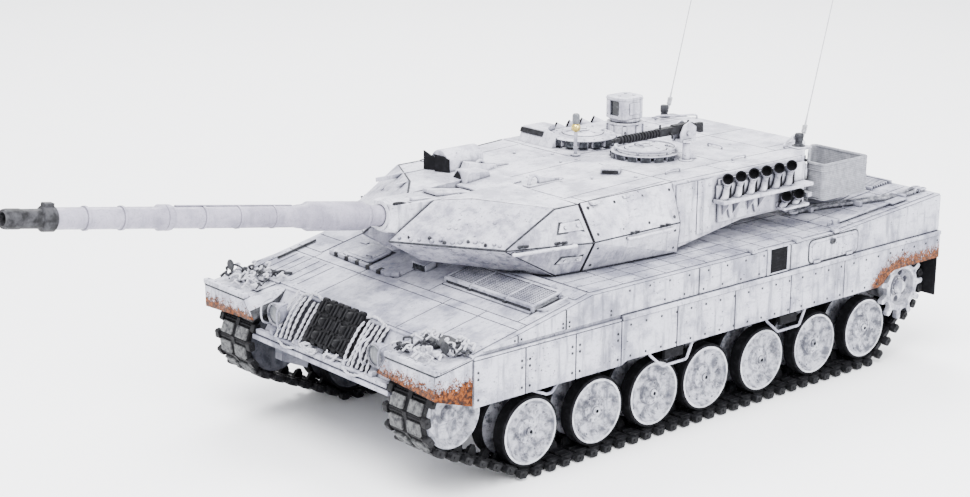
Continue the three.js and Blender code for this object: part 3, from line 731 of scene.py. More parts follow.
def build_tracks():
    steel, pads = link_pieces()
    for side in SIDES:
        circles = belt_circles(side)
        walk = belt_walk(circles, TRACK_T / 2)
        length = sum(stretch for stretch, _ in walk)
        count = round(length / LINK_PITCH)
        start = first_tooth_distance(walk)
        middle_x = centre(f"track_{side}")[0]
        placed = {"track": [], "pads": []}
        for i in range(count):
            y, z, angle = along_belt(walk, start + i * length / count)
            for key, solid in (("track", steel), ("pads", pads)):
                link = solid.at(z=-TRACK_T / 2).turned("X", math.degrees(angle) - 90)
                placed[key].append(link.at(middle_x, y, z))
        piece(f"track_links_{side}", together(placed["track"]), "hull", "track", [f"track_{side}"])
        piece(f"track_pads_{side}", together(placed["pads"]), "hull", "pad")


def wheel_disc():
    """A road wheel's two pressed discs and hub, turned about X with its outer face towards +X."""
    outer = [(0, 13.6), (3.6, 13.6), (4.2, 12.8), (7.6, 12.4), (8.4, 10.2), (12.5, 8.9), (16.4, 10.6),
             (18.3, 13.9), (18.8, 14.5), (20.0, 14.5), (20.3, 14.0), (20.3, 5.6), (15.6, 4.4), (6.5, 4.4)]
    inner = [(6.5, -4.4), (15.6, -4.4), (20.3, -5.6), (20.3, -13.9), (19.4, -14.1), (17.6, -12.6), (9, -10),
             (2.6, -10), (2.6, 9), (0, 9)]
    disc = lathe(outer + inner, WHEEL_SIDES, "x")
    cap = lathe([(0, 13.5), (2.6, 13.5), (2.6, 14.3), (2.0, 14.9), (0, 14.9)], 20, "x")
    hub_bolts = side_bolts(circle(10, 6.2), 12.5, 0.62, 0.6)
    rivets = side_bolts(circle(12, 15.4, 0.2), 10.3, 0.5, 0.45)
    inner_bolts = side_bolts(circle(8, 6), -10, 0.7, 0.6, facing=-90)
    return together([disc, cap, hub_bolts, rivets, inner_bolts])


def wheel_rim():
    """The lip round a road wheel's dish, in lighter paint than the dish: partly cleaner paint and partly a
    painted highlight where the lip catches the light.
    """
    return lathe([(18.4, 13.4), (19.0, 14.5), (19.6, 14.7), (20.2, 14.5), (20.35, 13.4), (19, 13)],
                 WHEEL_SIDES, "x", ring=True)


def wheel_tyres():
    r = WHEEL_R
    band = [(20.3, 5.5), (r - 0.6, 5.5), (r, 6.1), (r, 13.9), (r - 0.5, 14.4), (20.3, 14.4)]
    outer = lathe(band, WHEEL_SIDES, "x", ring=True)
    return outer + outer.at(-19.9)


def build_wheels():
    disc, rim, tyres = wheel_disc(), wheel_rim(), wheel_tyres()
    plug = rod(1.1, 14.6, 15.1, 16, "x")
    end_play = 0.4
    for side, sign in SIDES.items():
        for i in range(1, WHEELS + 1):
            node = f"road_wheel_{i}_{side}"
            x, y, z = centre(node)
            x -= sign * end_play
            spin = 47 * i + 90 * (side == "right")  # so that no two wheels show their bolts at the same angle
            for kind, solid, finish, replaced in (("wheel_disc", disc, "wheel", [node]),
                                                  ("wheel_rim", rim, "rim", []),
                                                  ("wheel_grease_plug", plug, "flap", []),
                                                  ("tyres", tyres, "tyre", [])):
                placed = on_side(solid, side).turned("X", spin).at(x, y, z)
                piece(f"{kind}_{i}_{side}", placed, node, finish, replaced)


def sprocket_plate():
    """One toothed ring about X, centred on the origin."""
    pitch, root, tip = 360 / SPROCKET_TEETH, TRACK_INNER_AT_SPROCKET - 0.6, TOOTH_TIP_R
    outline = []
    for i in range(SPROCKET_TEETH):
        for radius, share in ((root, -0.3), (root + 1.2, -0.19), (tip - 1.2, -0.155), (tip, -0.09),
                              (tip, 0.09), (tip - 1.2, 0.155), (root + 1.2, 0.19), (root, 0.3)):
            angle = FIRST_TOOTH + math.radians((i + share) * pitch)
            outline.append((radius * math.cos(angle), radius * math.sin(angle)))
    return bevelled(prism(outline, -1.9, 1.9), 0.35)


def build_sprockets():
    hole_count, nut_count = 7, 7
    holes = [rod(2.5, -9, 9, 24, "x").at(16, *spot) for spot in circle(hole_count, 9.9, 0.3)]
    face = [(0, 15.2), (6.2, 15.2), (6.6, 13.4), (12.2, 13.4), (12.9, 14.2), (13.2, 18.6), (14.6, 18.9),
            (15.3, 18.4), (15.3, 10), (10.8, 6), (10.8, -6), (15.5, -9), (15.5, -18.9), (3, -18.9), (3, -32),
            (0, -32)]
    drum = carved(lathe(face, WHEEL_SIDES, "x"), *holes)
    cap = lathe([(0, 15), (5.2, 15), (5.2, 16.6), (4.4, 17.8), (2.2, 18.2), (0, 18.2)], 32, "x")
    nuts = side_bolts(circle(nut_count, 6.0, 0.75), 15.1, 0.8, 0.9)
    rim_bolts = side_bolts(circle(SPROCKET_TEETH, 15.9, FIRST_TOOTH), 18.7, 0.6, 0.6)
    plate = carved(sprocket_plate(), rod(14.4, -5, 5, 48, "x"))
    wheel = together([drum, cap, nuts, rim_bolts, plate.at(RING_X), plate.at(-RING_X)])
    for side in SIDES:
        _, y, z = centre(f"sprocket_{side}")
        x = centre(f"track_{side}")[0]
        piece(f"sprocket_wheel_{side}", on_side(wheel, side).at(x, y, z), f"sprocket_{side}", "sprocket",
              [f"sprocket_{side}"])


def build_idlers():
    profile = [(0, 10.6), (3.4, 10.6), (4.2, 9.8), (4.6, 8), (9.5, 7.4), (15, 8.6), (17.6, 12.9),
               (18.4, 13.6), (IDLER_R, 13.4), (IDLER_R, 5), (13.4, 4), (13.4, -4), (IDLER_R, -5),
               (IDLER_R, -13), (16, -13), (9, -10), (2.6, -10), (2.6, 8), (0, 8)]
    wheel = lathe(profile, WHEEL_SIDES, "x") + side_bolts(circle(8, 6.6), 7.6, 0.6, 0.5)
    for side in SIDES:
        _, y, z = centre(f"idler_{side}")
        x = centre(f"track_{side}")[0]
        piece(f"idler_wheel_{side}", on_side(wheel, side).at(x, y, z), f"idler_{side}", "wheel",
              [f"idler_{side}"])


def build_arms():
    """Trailing arms with round bosses at the pivot and the axle."""
    arm_back, arm_drop = 26, 14.6
    pivot_end, axle_end = 4.6, 3.8
    pin_r = 1.95
    lean = math.atan2(-arm_drop, arm_back)

    def blade_end(y, z, radius, angles):
        return [(y + radius * math.cos(lean + a), z + radius * math.sin(lean + a)) for a in angles]

    for side in SIDES:
        for i in range(1, WHEELS + 1):
            node = f"arm_{i}_{side}"
            _, wheel_y, wheel_z = centre(f"road_wheel_{i}_{side}")
            low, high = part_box(node)
            inner, outer = sorted((abs(low.x / MM), abs(high.x / MM)))
            pivot_y, pivot_z = wheel_y - arm_back, wheel_z + arm_drop
            blade = blade_end(pivot_y, pivot_z, pivot_end, np.linspace(math.pi / 2, math.pi * 1.5, 12))
            blade += blade_end(wheel_y, wheel_z, axle_end, np.linspace(-math.pi / 2, math.pi / 2, 10))
            plate = bevelled(prism(blade, 62.5, 65.3), 0.4)
            pin = rod(pin_r, inner, 64, 20, "x", 0.3).at(y=pivot_y, z=pivot_z)
            axle = rod(pin_r, 63, outer, 20, "x", 0.3).at(y=wheel_y, z=wheel_z)
            boss = rod(3.4, 62.6, 66.0, 24, "x", 0.4).at(y=pivot_y, z=pivot_z)
            piece(f"trailing_arm_{i}_{side}", on_side(together([plate, pin, axle, boss]), side), node, "arm",
                  [node])


def build_return_rollers():
    roller = lathe([(0, 7), (2, 7), (4.6, 5.6), (4.6, 1.8), (1.8, 1.4), (1.8, -1.4), (4.6, -1.8), (4.6, -5.6),
                    (1.8, -6), (1.8, -14), (0, -14)], 32, "x")
    rollers = together([roller.at(77, y, 63.5) for y in (-150, -62, 26, 112)])
    for side in SIDES:
        piece(f"return_rollers_{side}", on_side(rollers, side), "hull", "arm")


# ---- Hull ------------------------------------------------------------------------------------------------

HULL_SIDE = reach("hull_upper")[0]
HALF_WIDTH = (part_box("skirt_left")[1].x) / MM
HULL_FRONT = (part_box("hull_upper")[0].y - MID_Y) / MM
HULL_REAR = (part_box("hull_upper")[1].y - MID_Y) / MM
NOSE_SIDE = 62.7  # half width of the nose between the mudguards
NOSE_TOP = (-212, 88.5)
NOSE_FOOT = (-231, 62)
DECK_FRONT, DECK_RISE = -120, 104
DECK_Z, DECK_REAR_Z = 108, 116.5
SPONSON_Z = 80
HULL_WALL = 2.2
PLATE = 0.7  # thickness of the plates laid on the hull
SEAM = 0.7


def top_z(y):
    """Height of the hull's upper face: the glacis, the deck and the raised engine deck."""
    return float(np.interp(y, (NOSE_TOP[0], DECK_FRONT, DECK_RISE, HULL_REAR),
                           (NOSE_TOP[1], DECK_Z, DECK_Z, DECK_REAR_Z)))


def laid(solid):
    """A solid drawn on z = 0, laid on the hull's upper face."""
    lift = np.array([(0, 0, top_z(y)) for y in solid.points[:, 1]])
    return Solid(solid.points + lift, solid.faces)


def plates(x_cuts, y_cuts):
    """A sheet of plates with open seams between them, laid on the hull."""
    made = []
    for x0, x1 in zip(x_cuts, x_cuts[1:]):
        for y0, y1 in zip(y_cuts, y_cuts[1:]):
            made.append(brick(x0, x1 - SEAM, y0, y1 - SEAM, -0.4, PLATE, 0.25))
    return laid(together(made))


def bolts_on_top(spots, radius=0.7, height=0.5, lift=0.0):
    return laid(together([bolt(radius, height).at(x, y, lift) for x, y in spots]))


def rounded(x0, x1, y0, y1, radius):
    """A rectangle with round corners, as an outline."""
    steps = 5
    outline = []
    for corner, (cx, cy) in enumerate(((x1 - radius, y1 - radius), (x0 + radius, y1 - radius),
                                       (x0 + radius, y0 + radius), (x1 - radius, y0 + radius))):
        for i in range(steps + 1):
            angle = math.pi / 2 * (corner + i / steps)
            outline.append((cx + radius * math.cos(angle), cy + radius * math.sin(angle)))
    return outline


def build_upper_hull():
    outline = [(NOSE_TOP[0] - 1, SPONSON_Z), (NOSE_TOP[0] - 1, NOSE_TOP[1]), NOSE_TOP, (DECK_FRONT, DECK_Z),
               (DECK_RISE, DECK_Z), (HULL_REAR, DECK_REAR_Z), (HULL_REAR, SPONSON_Z)]
    inside = [(-209, SPONSON_Z - 1), (-209, top_z(-209) - HULL_WALL), (DECK_FRONT, DECK_Z - HULL_WALL),
              (DECK_RISE, DECK_Z - HULL_WALL), (HULL_REAR - HULL_WALL, DECK_REAR_Z - HULL_WALL),
              (HULL_REAR - HULL_WALL, SPONSON_Z - 1)]
    ring_y, ring_r = -20, 60.5
    shell = carved(bevelled(prism(outline, -HULL_SIDE, HULL_SIDE), 0.8, 3, 6),
                   prism(inside, -HULL_SIDE + HULL_WALL, HULL_SIDE - HULL_WALL),
                   rod(ring_r, 100, 130, 96).at(y=ring_y))
    floors = both_sides(block(NOSE_SIDE, HULL_SIDE - 0.5, -211, HULL_REAR - 0.5, SPONSON_Z, SPONSON_Z + 1.6))
    nose = bevelled(prism([NOSE_FOOT, NOSE_TOP, (-206, 88), (-206, 62)], -NOSE_SIDE, NOSE_SIDE), 0.6)
    piece("upper_hull", together([shell, floors, nose]), "hull", "hull", ["hull_upper"])


def build_glacis():
    front = plates([-112, -84, -36, 46, 78, 112.7], [-210.5, -175, -168])
    middle = plates([-6, 24, 104.5, 112.7], [-168, -134])
    right = plates([-112, -86], [-168, -150, -121])
    behind = plates([-7, 60, 112.7], [-131, -120.6])
    ribs = laid(together([brick(x, x + 1.1, -206, -178, PLATE - 0.2, PLATE + 0.5, 0.2)
                          for x in (-108, -100, -92, -76, -68, -60)]))
    slab = prism([(-83, -116), (-85, -150), (-81, -166), (-16, -169.5), (-9.5, -165), (-8.5, -116)], -0.4,
                 0.75, "z")
    lip = prism([(-80, -165.6), (-80.6, -166.2), (-16, -169.7), (-9.2, -165.1), (-10.6, -163), (-18, -166.4)],
                0, 2.9, "z")
    hatch_x, hatch_y, _ = centre("driver_hatch")
    opening = block(hatch_x - 15.8, hatch_x + 15.8, hatch_y - 11, hatch_y + 11, -2, 5)
    slab = laid(carved(bevelled(slab, 0.3), opening) + bevelled(lip, 0.4))
    screws = bolts_on_top([(x, -165.2 + (x + 81) * -0.05) for x in range(-78, -14, 8)], 0.8, 0.6, 2.8)
    front_edge = bolts_on_top([(x, -208.5) for x in range(-108, 112, 12)], 0.65, 0.5, PLATE)
    side_rows = bolts_on_top([(s * 109.5, y) for s in (-1, 1) for y in range(-200, 100, 10)], 0.6, 0.45,
                             PLATE)
    ledge = laid(together([brick(x0, x1, -132, -127, -0.4, 4.6, 0.7) for x0, x1 in ((-8, 2), (4, 92))]))
    piece("glacis_plates", together([front, middle, right, behind, ribs, slab, screws, front_edge, side_rows,
                                     ledge]), "hull", "hull")
    gaps = [block(x, x + 3.4, -170.6 + 0.06 * (-16 - x), -166, 0.6, 3.1) for x in range(-74, -14, 12)]
    lines = [tube([(-9, -140, 3.4), (2, -134, 3.4), (-26, -118, 3.6)], 0.5, 6),
             brick(2.2, 3.8, -132, -128, 0, 4.2, 0.1)]
    piece("glacis_dark_fittings", laid(together(gaps + lines)), "hull", "dark")


def build_driver_station():
    x, y, _ = centre("driver_hatch")
    rise = math.degrees(math.atan((DECK_Z - NOSE_TOP[1]) / (DECK_FRONT - NOSE_TOP[0])))
    lid = bevelled(prism(rounded(-15, 15, -10, 10, 4), 1.0, 2.6, "z"), 0.5, 3)
    rim = bevelled(prism(rounded(-12.5, 12.5, -7.5, 7.5, 3), 2.2, 2.9, "z"), 0.3)
    studs = together([bolt(0.6, 0.5).at(a, b, 2.4) for a in (-13.4, 13.4) for b in (-6, 0, 6)])
    arm = brick(-15.5, -9, 6, 9, 2.2, 3.6, 0.4)
    handle = tube([(6, -5, 2.8), (6, -5, 4), (11, -5, 4), (11, -5, 2.8)], 0.45)
    hatch = together([lid, rim, studs, arm, handle]).turned("X", rise).at(x, y, top_z(y))
    piece("driver_hatch_lid", hatch, "driver_hatch", "hull", ["driver_hatch"])
    housing = brick(-12.5, 1.6, -152.5, -144, -2, 4.8, 0.7, 3)
    cover = brick(-11.6, 0.8, -153.4, -145, 4.6, 5.4, 0.3)
    piece("driver_periscope", laid(housing + cover), "hull", "hull")
    pane = brick(-11.2, 0.4, -152.9, -151, 0.9, 4.2, 0.2)
    piece("driver_periscope_glass", laid(pane), "hull", "optic")


def build_rack():
    """The flat mesh-topped rack on the left of the glacis."""
    x0, x1, y0, y1, foot, top = 25, 103, -156.5, -133.5, -0.4, 4.8
    splits = (x0, 48, 80, x1)
    wire, mesh_pitch = 0.45, 1.55
    rails = [block(x0, x1, y0, y0 + 2.2, top - 1.8, top), block(x0, x1, y1 - 2, y1, top - 1.6, top),
             block(x0, x1, y0 - 1.6, y0 + 0.4, foot, 1.4)]
    rails += [block(x - 0.8, x + 0.8, y0, y1, top - 1.2, top) for x in splits]
    rails += [block(x - 0.9, x + 0.9, y - 0.9, y + 0.9, foot, top - 1) for x in splits
              for y in (y0 + 0.9, y1 - 0.9)]
    wires = [block(x, x + wire, y0 + 1, y1 - 1, top - 1.1, top - 0.6)
             for x in np.arange(x0 + 1.5, x1 - 1, mesh_pitch)]
    wires += [block(x0 + 1, x1 - 1, y, y + wire, top - 0.9, top - 0.4)
              for y in np.arange(y0 + 2.4, y1 - 1.5, mesh_pitch)]
    frame_bars = together([bevelled(rail, 0.3) for rail in rails])
    grip = [(x1 + 1, y0 + 4, 1), (x1 + 7, y0 + 5, 3.4), (x1 + 7.5, y1 - 2, 3.4), (x1 + 1, y1 - 1, 1)]
    handle = tube(curve(grip), 0.6)
    piece("glacis_rack", laid(frame_bars + together(wires) + handle), "hull", "hull")
    tray = brick(x0 + 0.6, x1 - 0.6, y0 + 0.8, y1 - 0.8, -0.2, 0.9, 0.2)
    piece("glacis_rack_tray", laid(tray), "hull", "bin")
    catches = [block(x, x + 3, y0 - 0.7, y0 + 0.4, 0.6, 2.6) for x in (46, 78)]
    catches += [block(x, x + 2, y1 - 0.5, y1 + 0.9, 1.5, 4.1) for x in (38, 62, 86)]
    under = [block(x0 + 0.4, x1 - 0.4, y0 + 0.5, y0 + 1.6, 0, top - 1.9),
             block(x0 - 1, x1 + 1, y0 - 2.2, y1 + 0.8, -0.2, 0.75)]
    piece("glacis_rack_shadows", laid(together(under + catches)), "hull", "arm")


def on_nose(solid):
    """A solid drawn flat, X across and Y up the nose plate from its foot, stood on the nose plate."""
    run, rise = NOSE_TOP[0] - NOSE_FOOT[0], NOSE_TOP[1] - NOSE_FOOT[1]
    return solid.turned("X", math.degrees(math.atan2(rise, run))).at(0, *NOSE_FOOT)


def spare_link():
    """One spare track link lying on its pads, with its guide horn standing up."""
    body = brick(-9.6, 9.6, -4.5, 4.5, 0.4, 3.2, 0.6)
    lugs = together([bevelled(rod(1.7, x0, x1, 14, "x"), 0.2).at(y=y, z=2) for y in (-4.4, 4.4)
                     for x0, x1 in ((-9.8, -5.6), (-2, 2), (5.6, 9.8))])
    horn = bevelled(convex([(x * w, y * d, z) for x in (-1, 1) for y in (-1, 1)
                            for w, d, z in ((2, 3, 2.8), (1.5, 2, 5.2), (0.8, 1, 6.4))]), 0.35)
    ribs = together([brick(x - 0.7, x + 0.7, -3.6, 3.6, 3, 4.6, 0.3) for x in (-7.6, -4.2, 4.2, 7.6)])
    ends = together([brick(x0, x1, -3, 3, 0.8, 4, 0.5) for x0, x1 in ((-10.4, -9.2), (9.2, 10.4))])
    return together([body, lugs, horn, ribs, ends])


def canvas_roll(side):
    """A rolled canvas strapped on the nose: a lumpy low mound, folded differently on each side."""
    low_x, high_x, foot, run, steps = 23.5, 43, 2, 29, 14

    def lump(i, j):
        u, v = i / steps, j / steps
        dome = (1 - (2 * u - 1) ** 6) * (1 - (2 * v - 1) ** 8)
        fold = 0.55 * math.sin(17 * u + 5 * v * side) + 0.4 * math.sin(9 * v + 13 * u * v + side)
        return low_x + (high_x - low_x) * u, foot + run * v, 0.3 + dome * (2.3 + fold)

    def index(i, j):
        return i * (steps + 1) + j

    cells = range(steps)
    points = [lump(i, j) for i in range(steps + 1) for j in range(steps + 1)]
    under = [(x, y, -0.5) for x, y, _ in points]
    count = len(points)
    top = [(index(i, j), index(i + 1, j), index(i + 1, j + 1), index(i, j + 1)) for i in cells for j in cells]
    base = [tuple(count + k for k in reversed(face)) for face in top]
    back = range(steps, 0, -1)
    rim = [(0, j) for j in cells] + [(i, steps)
                                     for i in cells] + [(steps, j) for j in back] + [(i, 0) for i in back]
    loop = [index(i, j) for i, j in rim]
    walls = [(a, b, count + b, count + a) for a, b in zip(loop, loop[1:] + loop[:1])]
    return Solid(points + under, top + base + walls)


def nose_cords():
    """Net cords over each canvas, a loop below and above it, and a heap at the foot of the spare links."""
    rng = random.Random(7)
    cords = []
    for side in (1, -1):
        for i in range(6):
            x, lift, sway = 22.8 + 4.4 * i, 2.6 + rng.random(), rng.uniform(-1.2, 1.2)
            foot, head = rng.uniform(0.5, 3), rng.uniform(30, 34)
            path = [(side * (x + sway * math.sin(3 * t)), foot + (head - foot) * t + rng.uniform(-0.4, 0.4),
                     lift + 1.2 * math.sin(math.pi * t) + rng.uniform(-0.3, 0.3))
                    for t in np.linspace(0, 1, 6)]
            cords.append(twisted(curve(path, 5), 0.85))
        cords.append(twisted(curve([(side * 22, 1, 2), (side * 33, -2, 3.4), (side * 45, 1.5, 2)], 6), 1.0))
        heap = [(side * rng.uniform(0, 22), rng.uniform(0.5, 6), rng.uniform(1.5, 6)) for _ in range(14)]
        cords.append(twisted(curve(heap, 5), 0.8, 40))
        cords.append(twisted(curve([(side * 22, 33, 2), (side * 30, 35, 2.6), (side * 42, 32, 2)], 6), 0.9))
    return together(cords)


def build_nose():
    link = spare_link()
    links = together([link.at(x, y, 0.6) for x in (-10.4, 10.4) for y in (11.5, 20.5, 29.5)])
    retainers = together([brick(x - 1.2, x + 1.2, 1, 34, 0, 1.6, 0.3) for x in (-20, 0.7, 21.6)])
    piece("spare_links", on_nose(links + retainers), "hull", "track")
    piece("nose_canvas", on_nose(canvas_roll(1) + canvas_roll(-1).mirrored()), "hull", "canvas")
    piece("nose_cords", on_nose(nose_cords()), "hull", "net")
    bar_y = NOSE_FOOT[0] - 1.5
    crossbar = together([brick(-68.5, 68.5, bar_y - 2, bar_y + 2.4, 58.6, 61.6, 0.5),
                         brick(-66, 66, bar_y - 1, bar_y + 2.4, 62.1, 65.2, 0.6)])
    posts = both_sides(together([brick(x - 1.5, x + 1.5, bar_y - 0.5, -226, 60, 68, 0.4) for x in (24, 50)]))
    piece("bow_bar", together([crossbar, posts]), "hull", "hull")
    build_headlights()


def twisted(path, radius, turns=9):
    """A two-strand rope along a path."""
    path = [Vector(p) for p in path]
    strands = []
    for phase in (0, math.pi):
        line = []
        for i, here in enumerate(path):
            along = (path[min(i + 1, len(path) - 1)] - path[max(i - 1, 0)]).normalized()
            side = along.cross(Vector((0, 0, 1))).normalized()
            other = along.cross(side)
            angle = phase + turns * math.tau * i / len(path) / 2.2
            line.append(here + (side * math.cos(angle) + other * math.sin(angle)) * radius * 0.55)
        strands.append(tube(line, radius * 0.6, 6))
    return together(strands)


def build_headlights():
    bowl = lathe([(0, -6), (4.5, -6), (6.3, -3.5), (6.9, 0.4), (7.2, 0.8), (7.2, 2.2), (6.6, 2.6), (6.0, 2.2),
                  (6.0, 0.8), (0, 0.2)], 40, "y")
    ring = lathe([(6.05, 2.0), (6.9, 2.0), (7.0, 2.9), (6.1, 3.1)], 40, "y", ring=True)
    lens = lathe([(0, 0.9), (5.9, 0.9), (5.9, 1.7), (4, 2.4), (0, 2.8)], 40, "y")
    guard = together([tube(curve([(a, 2, -9), (a, -5, -6), (a, -6.4, 0), (a, -5, 6), (a, 2, 8)], 4), 0.6)
                      for a in (-8.4, 8.4)])
    stalk = brick(-2, 2, 1, 8, -9, -4, 0.5)
    spot = (50.5, -227.5, 77.5)
    for name, solid, finish in (("headlight_bowls", together([bowl, guard, stalk]), "hull"),
                                ("headlight_rings", ring, "cable"), ("headlight_lenses", lens, "lamp")):
        piece(name, both_sides(solid.at(*spot)), "hull", finish)


def build_mudguards():
    """Front mudguards: hoods over the idlers with a slanted inner side and a rusty lower edge."""
    front, back = HULL_FRONT, NOSE_TOP[0] + 0.6
    inner_top, inner_foot, outer = 71.5, 62.4, HULL_SIDE + 0.9
    crest, lower_edge, inner_edge = 84, 69, 72
    wall = 1.5

    def plate(corners, shift):
        return bevelled(convex(corners + [tuple(np.add(c, shift)) for c in corners]), 0.4)

    top = plate([(inner_top, front, crest), (outer, front, crest), (NOSE_SIDE, back, NOSE_TOP[1]),
                 (outer, back, NOSE_TOP[1])], (0, 0, -wall))
    face = plate([(inner_top, front, crest), (outer, front, crest), (outer - 1.5, front, lower_edge),
                  (inner_foot, front, inner_edge)], (0, wall, 0))
    inner = plate([(inner_top, front, crest), (inner_foot, front, inner_edge), (NOSE_SIDE, back, NOSE_TOP[1]),
                   (NOSE_SIDE, back, 78)], (wall, 0, 0))
    profile = [(front, crest), (front, lower_edge), (back, 60.4), (back, NOSE_TOP[1])]
    side = bevelled(prism(profile, outer - wall, outer), 0.4)
    lip = brick(inner_top - 1, outer + 0.6, front - 0.8, front + 3.4, 84.2, 87.4, 0.9, 3)
    lip_ends = together([bolt(0.7, 0.6).at(x, front + 1.3, 87.4)
                         for x in np.linspace(inner_top + 3, outer - 3, 6)])
    hinge = rod(1.1, inner_top, outer, 12, "x").at(y=back + 0.6, z=NOSE_TOP[1] + 0.6)
    rivets = side_bolts([(y, z) for y in (front + 3, back - 4) for z in (72, 80)], outer)
    stay = bar((inner_top + 4, front + 5, 84.4), (inner_top + 2, back - 2, 89), 0.7)
    seam = convex([(inner_top - 0.2, front + 0.6, 83.4), (inner_foot - 0.4, front + 0.6, 72.4),
                   (NOSE_SIDE - 0.4, back, NOSE_TOP[1] - 0.8), (NOSE_SIDE - 0.4, back, 78.4),
                   (NOSE_SIDE + 1, back, 80)])
    shadow = [block(inner_top - 0.4, outer, front - 0.25, front + 2, 83.3, 84.4),
              block(inner_top, outer - 0.2, front + 3, front + 4.3, 84, 85.3), seam]
    piece("mudguard_shadows", both_sides(together(shadow)), "hull", "arm")
    hood = together([top, face, inner, side, lip, lip_ends, hinge, rivets, stay])
    piece("mudguards_front", both_sides(hood), "hull", "front")


GUARD_SLOPE = 0.17


def on_guard(y):
    """How far a front mudguard's hood has risen at y, counted from its front edge."""
    return GUARD_SLOPE * (y + 238)


def build_fender_gear():
    """Small tools, ropes and mirrors strapped on the mudguards."""
    rng = random.Random(21)
    ropes, tools = [], []
    for side in SIDES:
        for i in range(46):
            x, y = rng.uniform(70, 112), rng.uniform(-233, -204)
            length, heading = rng.uniform(3, 9), rng.uniform(0, math.pi)
            z = 85.5 + on_guard(y) + rng.uniform(0.8, 4)
            dx, dy = length / 2 * math.cos(heading), length / 2 * math.sin(heading)
            path = curve([(x - dx, y - dy, z - 1), (x - dx / 3, y - dy / 3 + 1.6, z + 1.6),
                          (x + dx / 3, y + dy / 3 - 1.4, z + 1.4), (x + dx, y + dy, z - 1)], 4)
            inside = all(66 < p.x < 115 and HULL_FRONT + 2 < p.y < -198 for p in path)
            if inside:
                made = tube(path, rng.uniform(0.5, 0.95), 7)
                (tools if i % 3 == 0 else ropes).append(on_side(made, side))
        dark_lump = 1 if side == "left" else 2
        for k, (x, y) in enumerate([(76, -226), (86, -214), (97, -222), (105, -213)]):
            lump = bevelled(convex([(x + a * rng.uniform(2, 4), y + b * rng.uniform(1.5, 3), z)
                                    for a in (-1, 1) for b in (-1, 1)
                                    for z in (85 + on_guard(y), 90 + k % 2)]), 0.6)
            (tools if k == dark_lump else ropes).append(on_side(lump, side))
    mirror = rod(3.6, -0.6, 0.6, 24, "y", 0.3).at(107, -224, 95.5)
    stem = tube(curve([(104, -214, 88), (106, -217, 93), (107, -222, 95.5)], 5), 0.6)
    for side in SIDES:
        tools += [on_side(stem, side), on_side(mirror, side)]
    blade = prism([(-213, 74), (-206, 75), (-203, 86), (-205, 99), (-209, 103), (-214, 90)], 0, 1, "z")
    blade = Solid(blade.points[:, [1, 0, 2]], blade.faces)
    tools.append(laid(bevelled(blade, 0.3)).at(z=1.4))
    tools.append(laid(tube(curve([(-74, -200, 2), (-88, -205, 2.2), (-102, -203, 2)], 5), 0.9)))
    tools.append(laid(tube([(-104, -190, 1.8), (-104, -160, 1.8)], 0.8)))
    piece("fender_ropes", together(ropes), "hull", "net")
    piece("fender_tools", together(tools), "hull", "arm")


SKIRT_TOP = 87
SKIRT_SEAMS = (-211.5, -173, -134, -97)
REAR_SEAMS = (-93.5, -49, 3, 56, 109.7)
SIDE_SEAMS = (-211, -178, -141, -30, 55, HULL_REAR)


def build_skirts():
    gap = 0.4
    inner = HULL_SIDE + gap
    heavy, light = HALF_WIDTH, HALF_WIDTH - 0.5
    panels, heads = [], []
    for y0, y1 in zip(SKIRT_SEAMS, SKIRT_SEAMS[1:]):
        panels.append(brick(inner, heavy, y0 + gap, y1 - gap, 59.6, SKIRT_TOP, 0.35))
        heads.append(side_bolts([(y0 + 3, 80), (y0 + 3, 76), (y1 - 3, 80), (y1 - 3, 76), (y0 + 3, 64),
                                 (y1 - 3, 64)], heavy, 0.8, 0.6))
    panels.append(bevelled(prism([(-97 + gap, 59.6), (-92.6, 61.6), (-92.6, SKIRT_TOP),
                                  (-97 + gap, SKIRT_TOP)], inner, heavy), 0.3))
    for y0, y1 in zip(REAR_SEAMS, REAR_SEAMS[1:]):
        panels.append(brick(inner, light, y0 + gap, y1 - gap, 61.5, SKIRT_TOP, 0.3))
    arch = [(109.7 + gap, 61.5), (147, 61.5), (152, 63), (158, 68), (164, 70.6), (213, 71), (213, SKIRT_TOP),
            (109.7 + gap, SKIRT_TOP)]
    panels.append(bevelled(prism(arch, inner, light), 0.3))
    row = np.arange(-89, 211, 13.0)
    heads.append(side_bolts([(y, 83.6) for y in row] + [(y, 64.2) for y in row if y < 146], light, 0.75, 0.5))
    rail = brick(HULL_SIDE - 0.5, HALF_WIDTH + 0.5, -96, HULL_REAR + 1, SKIRT_TOP + 0.3, SKIRT_TOP + 3.3, 0.7,
                 3)
    cap = brick(HULL_SIDE - 0.5, HALF_WIDTH - 0.3, -211, -97, SKIRT_TOP + 0.3, SKIRT_TOP + 1.6, 0.4)
    for side in SIDES:
        piece(f"skirt_panels_{side}", on_side(together(panels + [rail, cap]), side), "hull", "skirt",
              [f"skirt_{side}"])
        piece(f"skirt_bolts_{side}", on_side(together(heads), side), "hull", "arm")


def build_footsteps():
    """Bent steps that hang under the skirts."""
    x = HALF_WIDTH - 1.4

    def rail(y0, y1, foot):
        return tube([(x, y0, 62), (x, y0 + 0.8, 60), (x, y0 + 11, foot + 0.6), (x, y0 + 12, foot),
                     (x, y1 - 6, foot), (x, y1 - 5, foot + 0.6), (x, y1 - 0.8, 60), (x, y1, 62)], 0.85)

    rails = together([rail(-168, -146, 55), rail(-72, -34, 51), rail(34, 72, 51)])
    treads = together([brick(x - 1.6, x + 0.9, y0, y0 + 16, 55, 61, 0.4) for y0 in (-59, 47)])
    for side in SIDES:
        piece(f"footsteps_{side}", on_side(rails, side), "hull", "hull")
        piece(f"footstep_pads_{side}", on_side(treads, side), "hull", "flap")


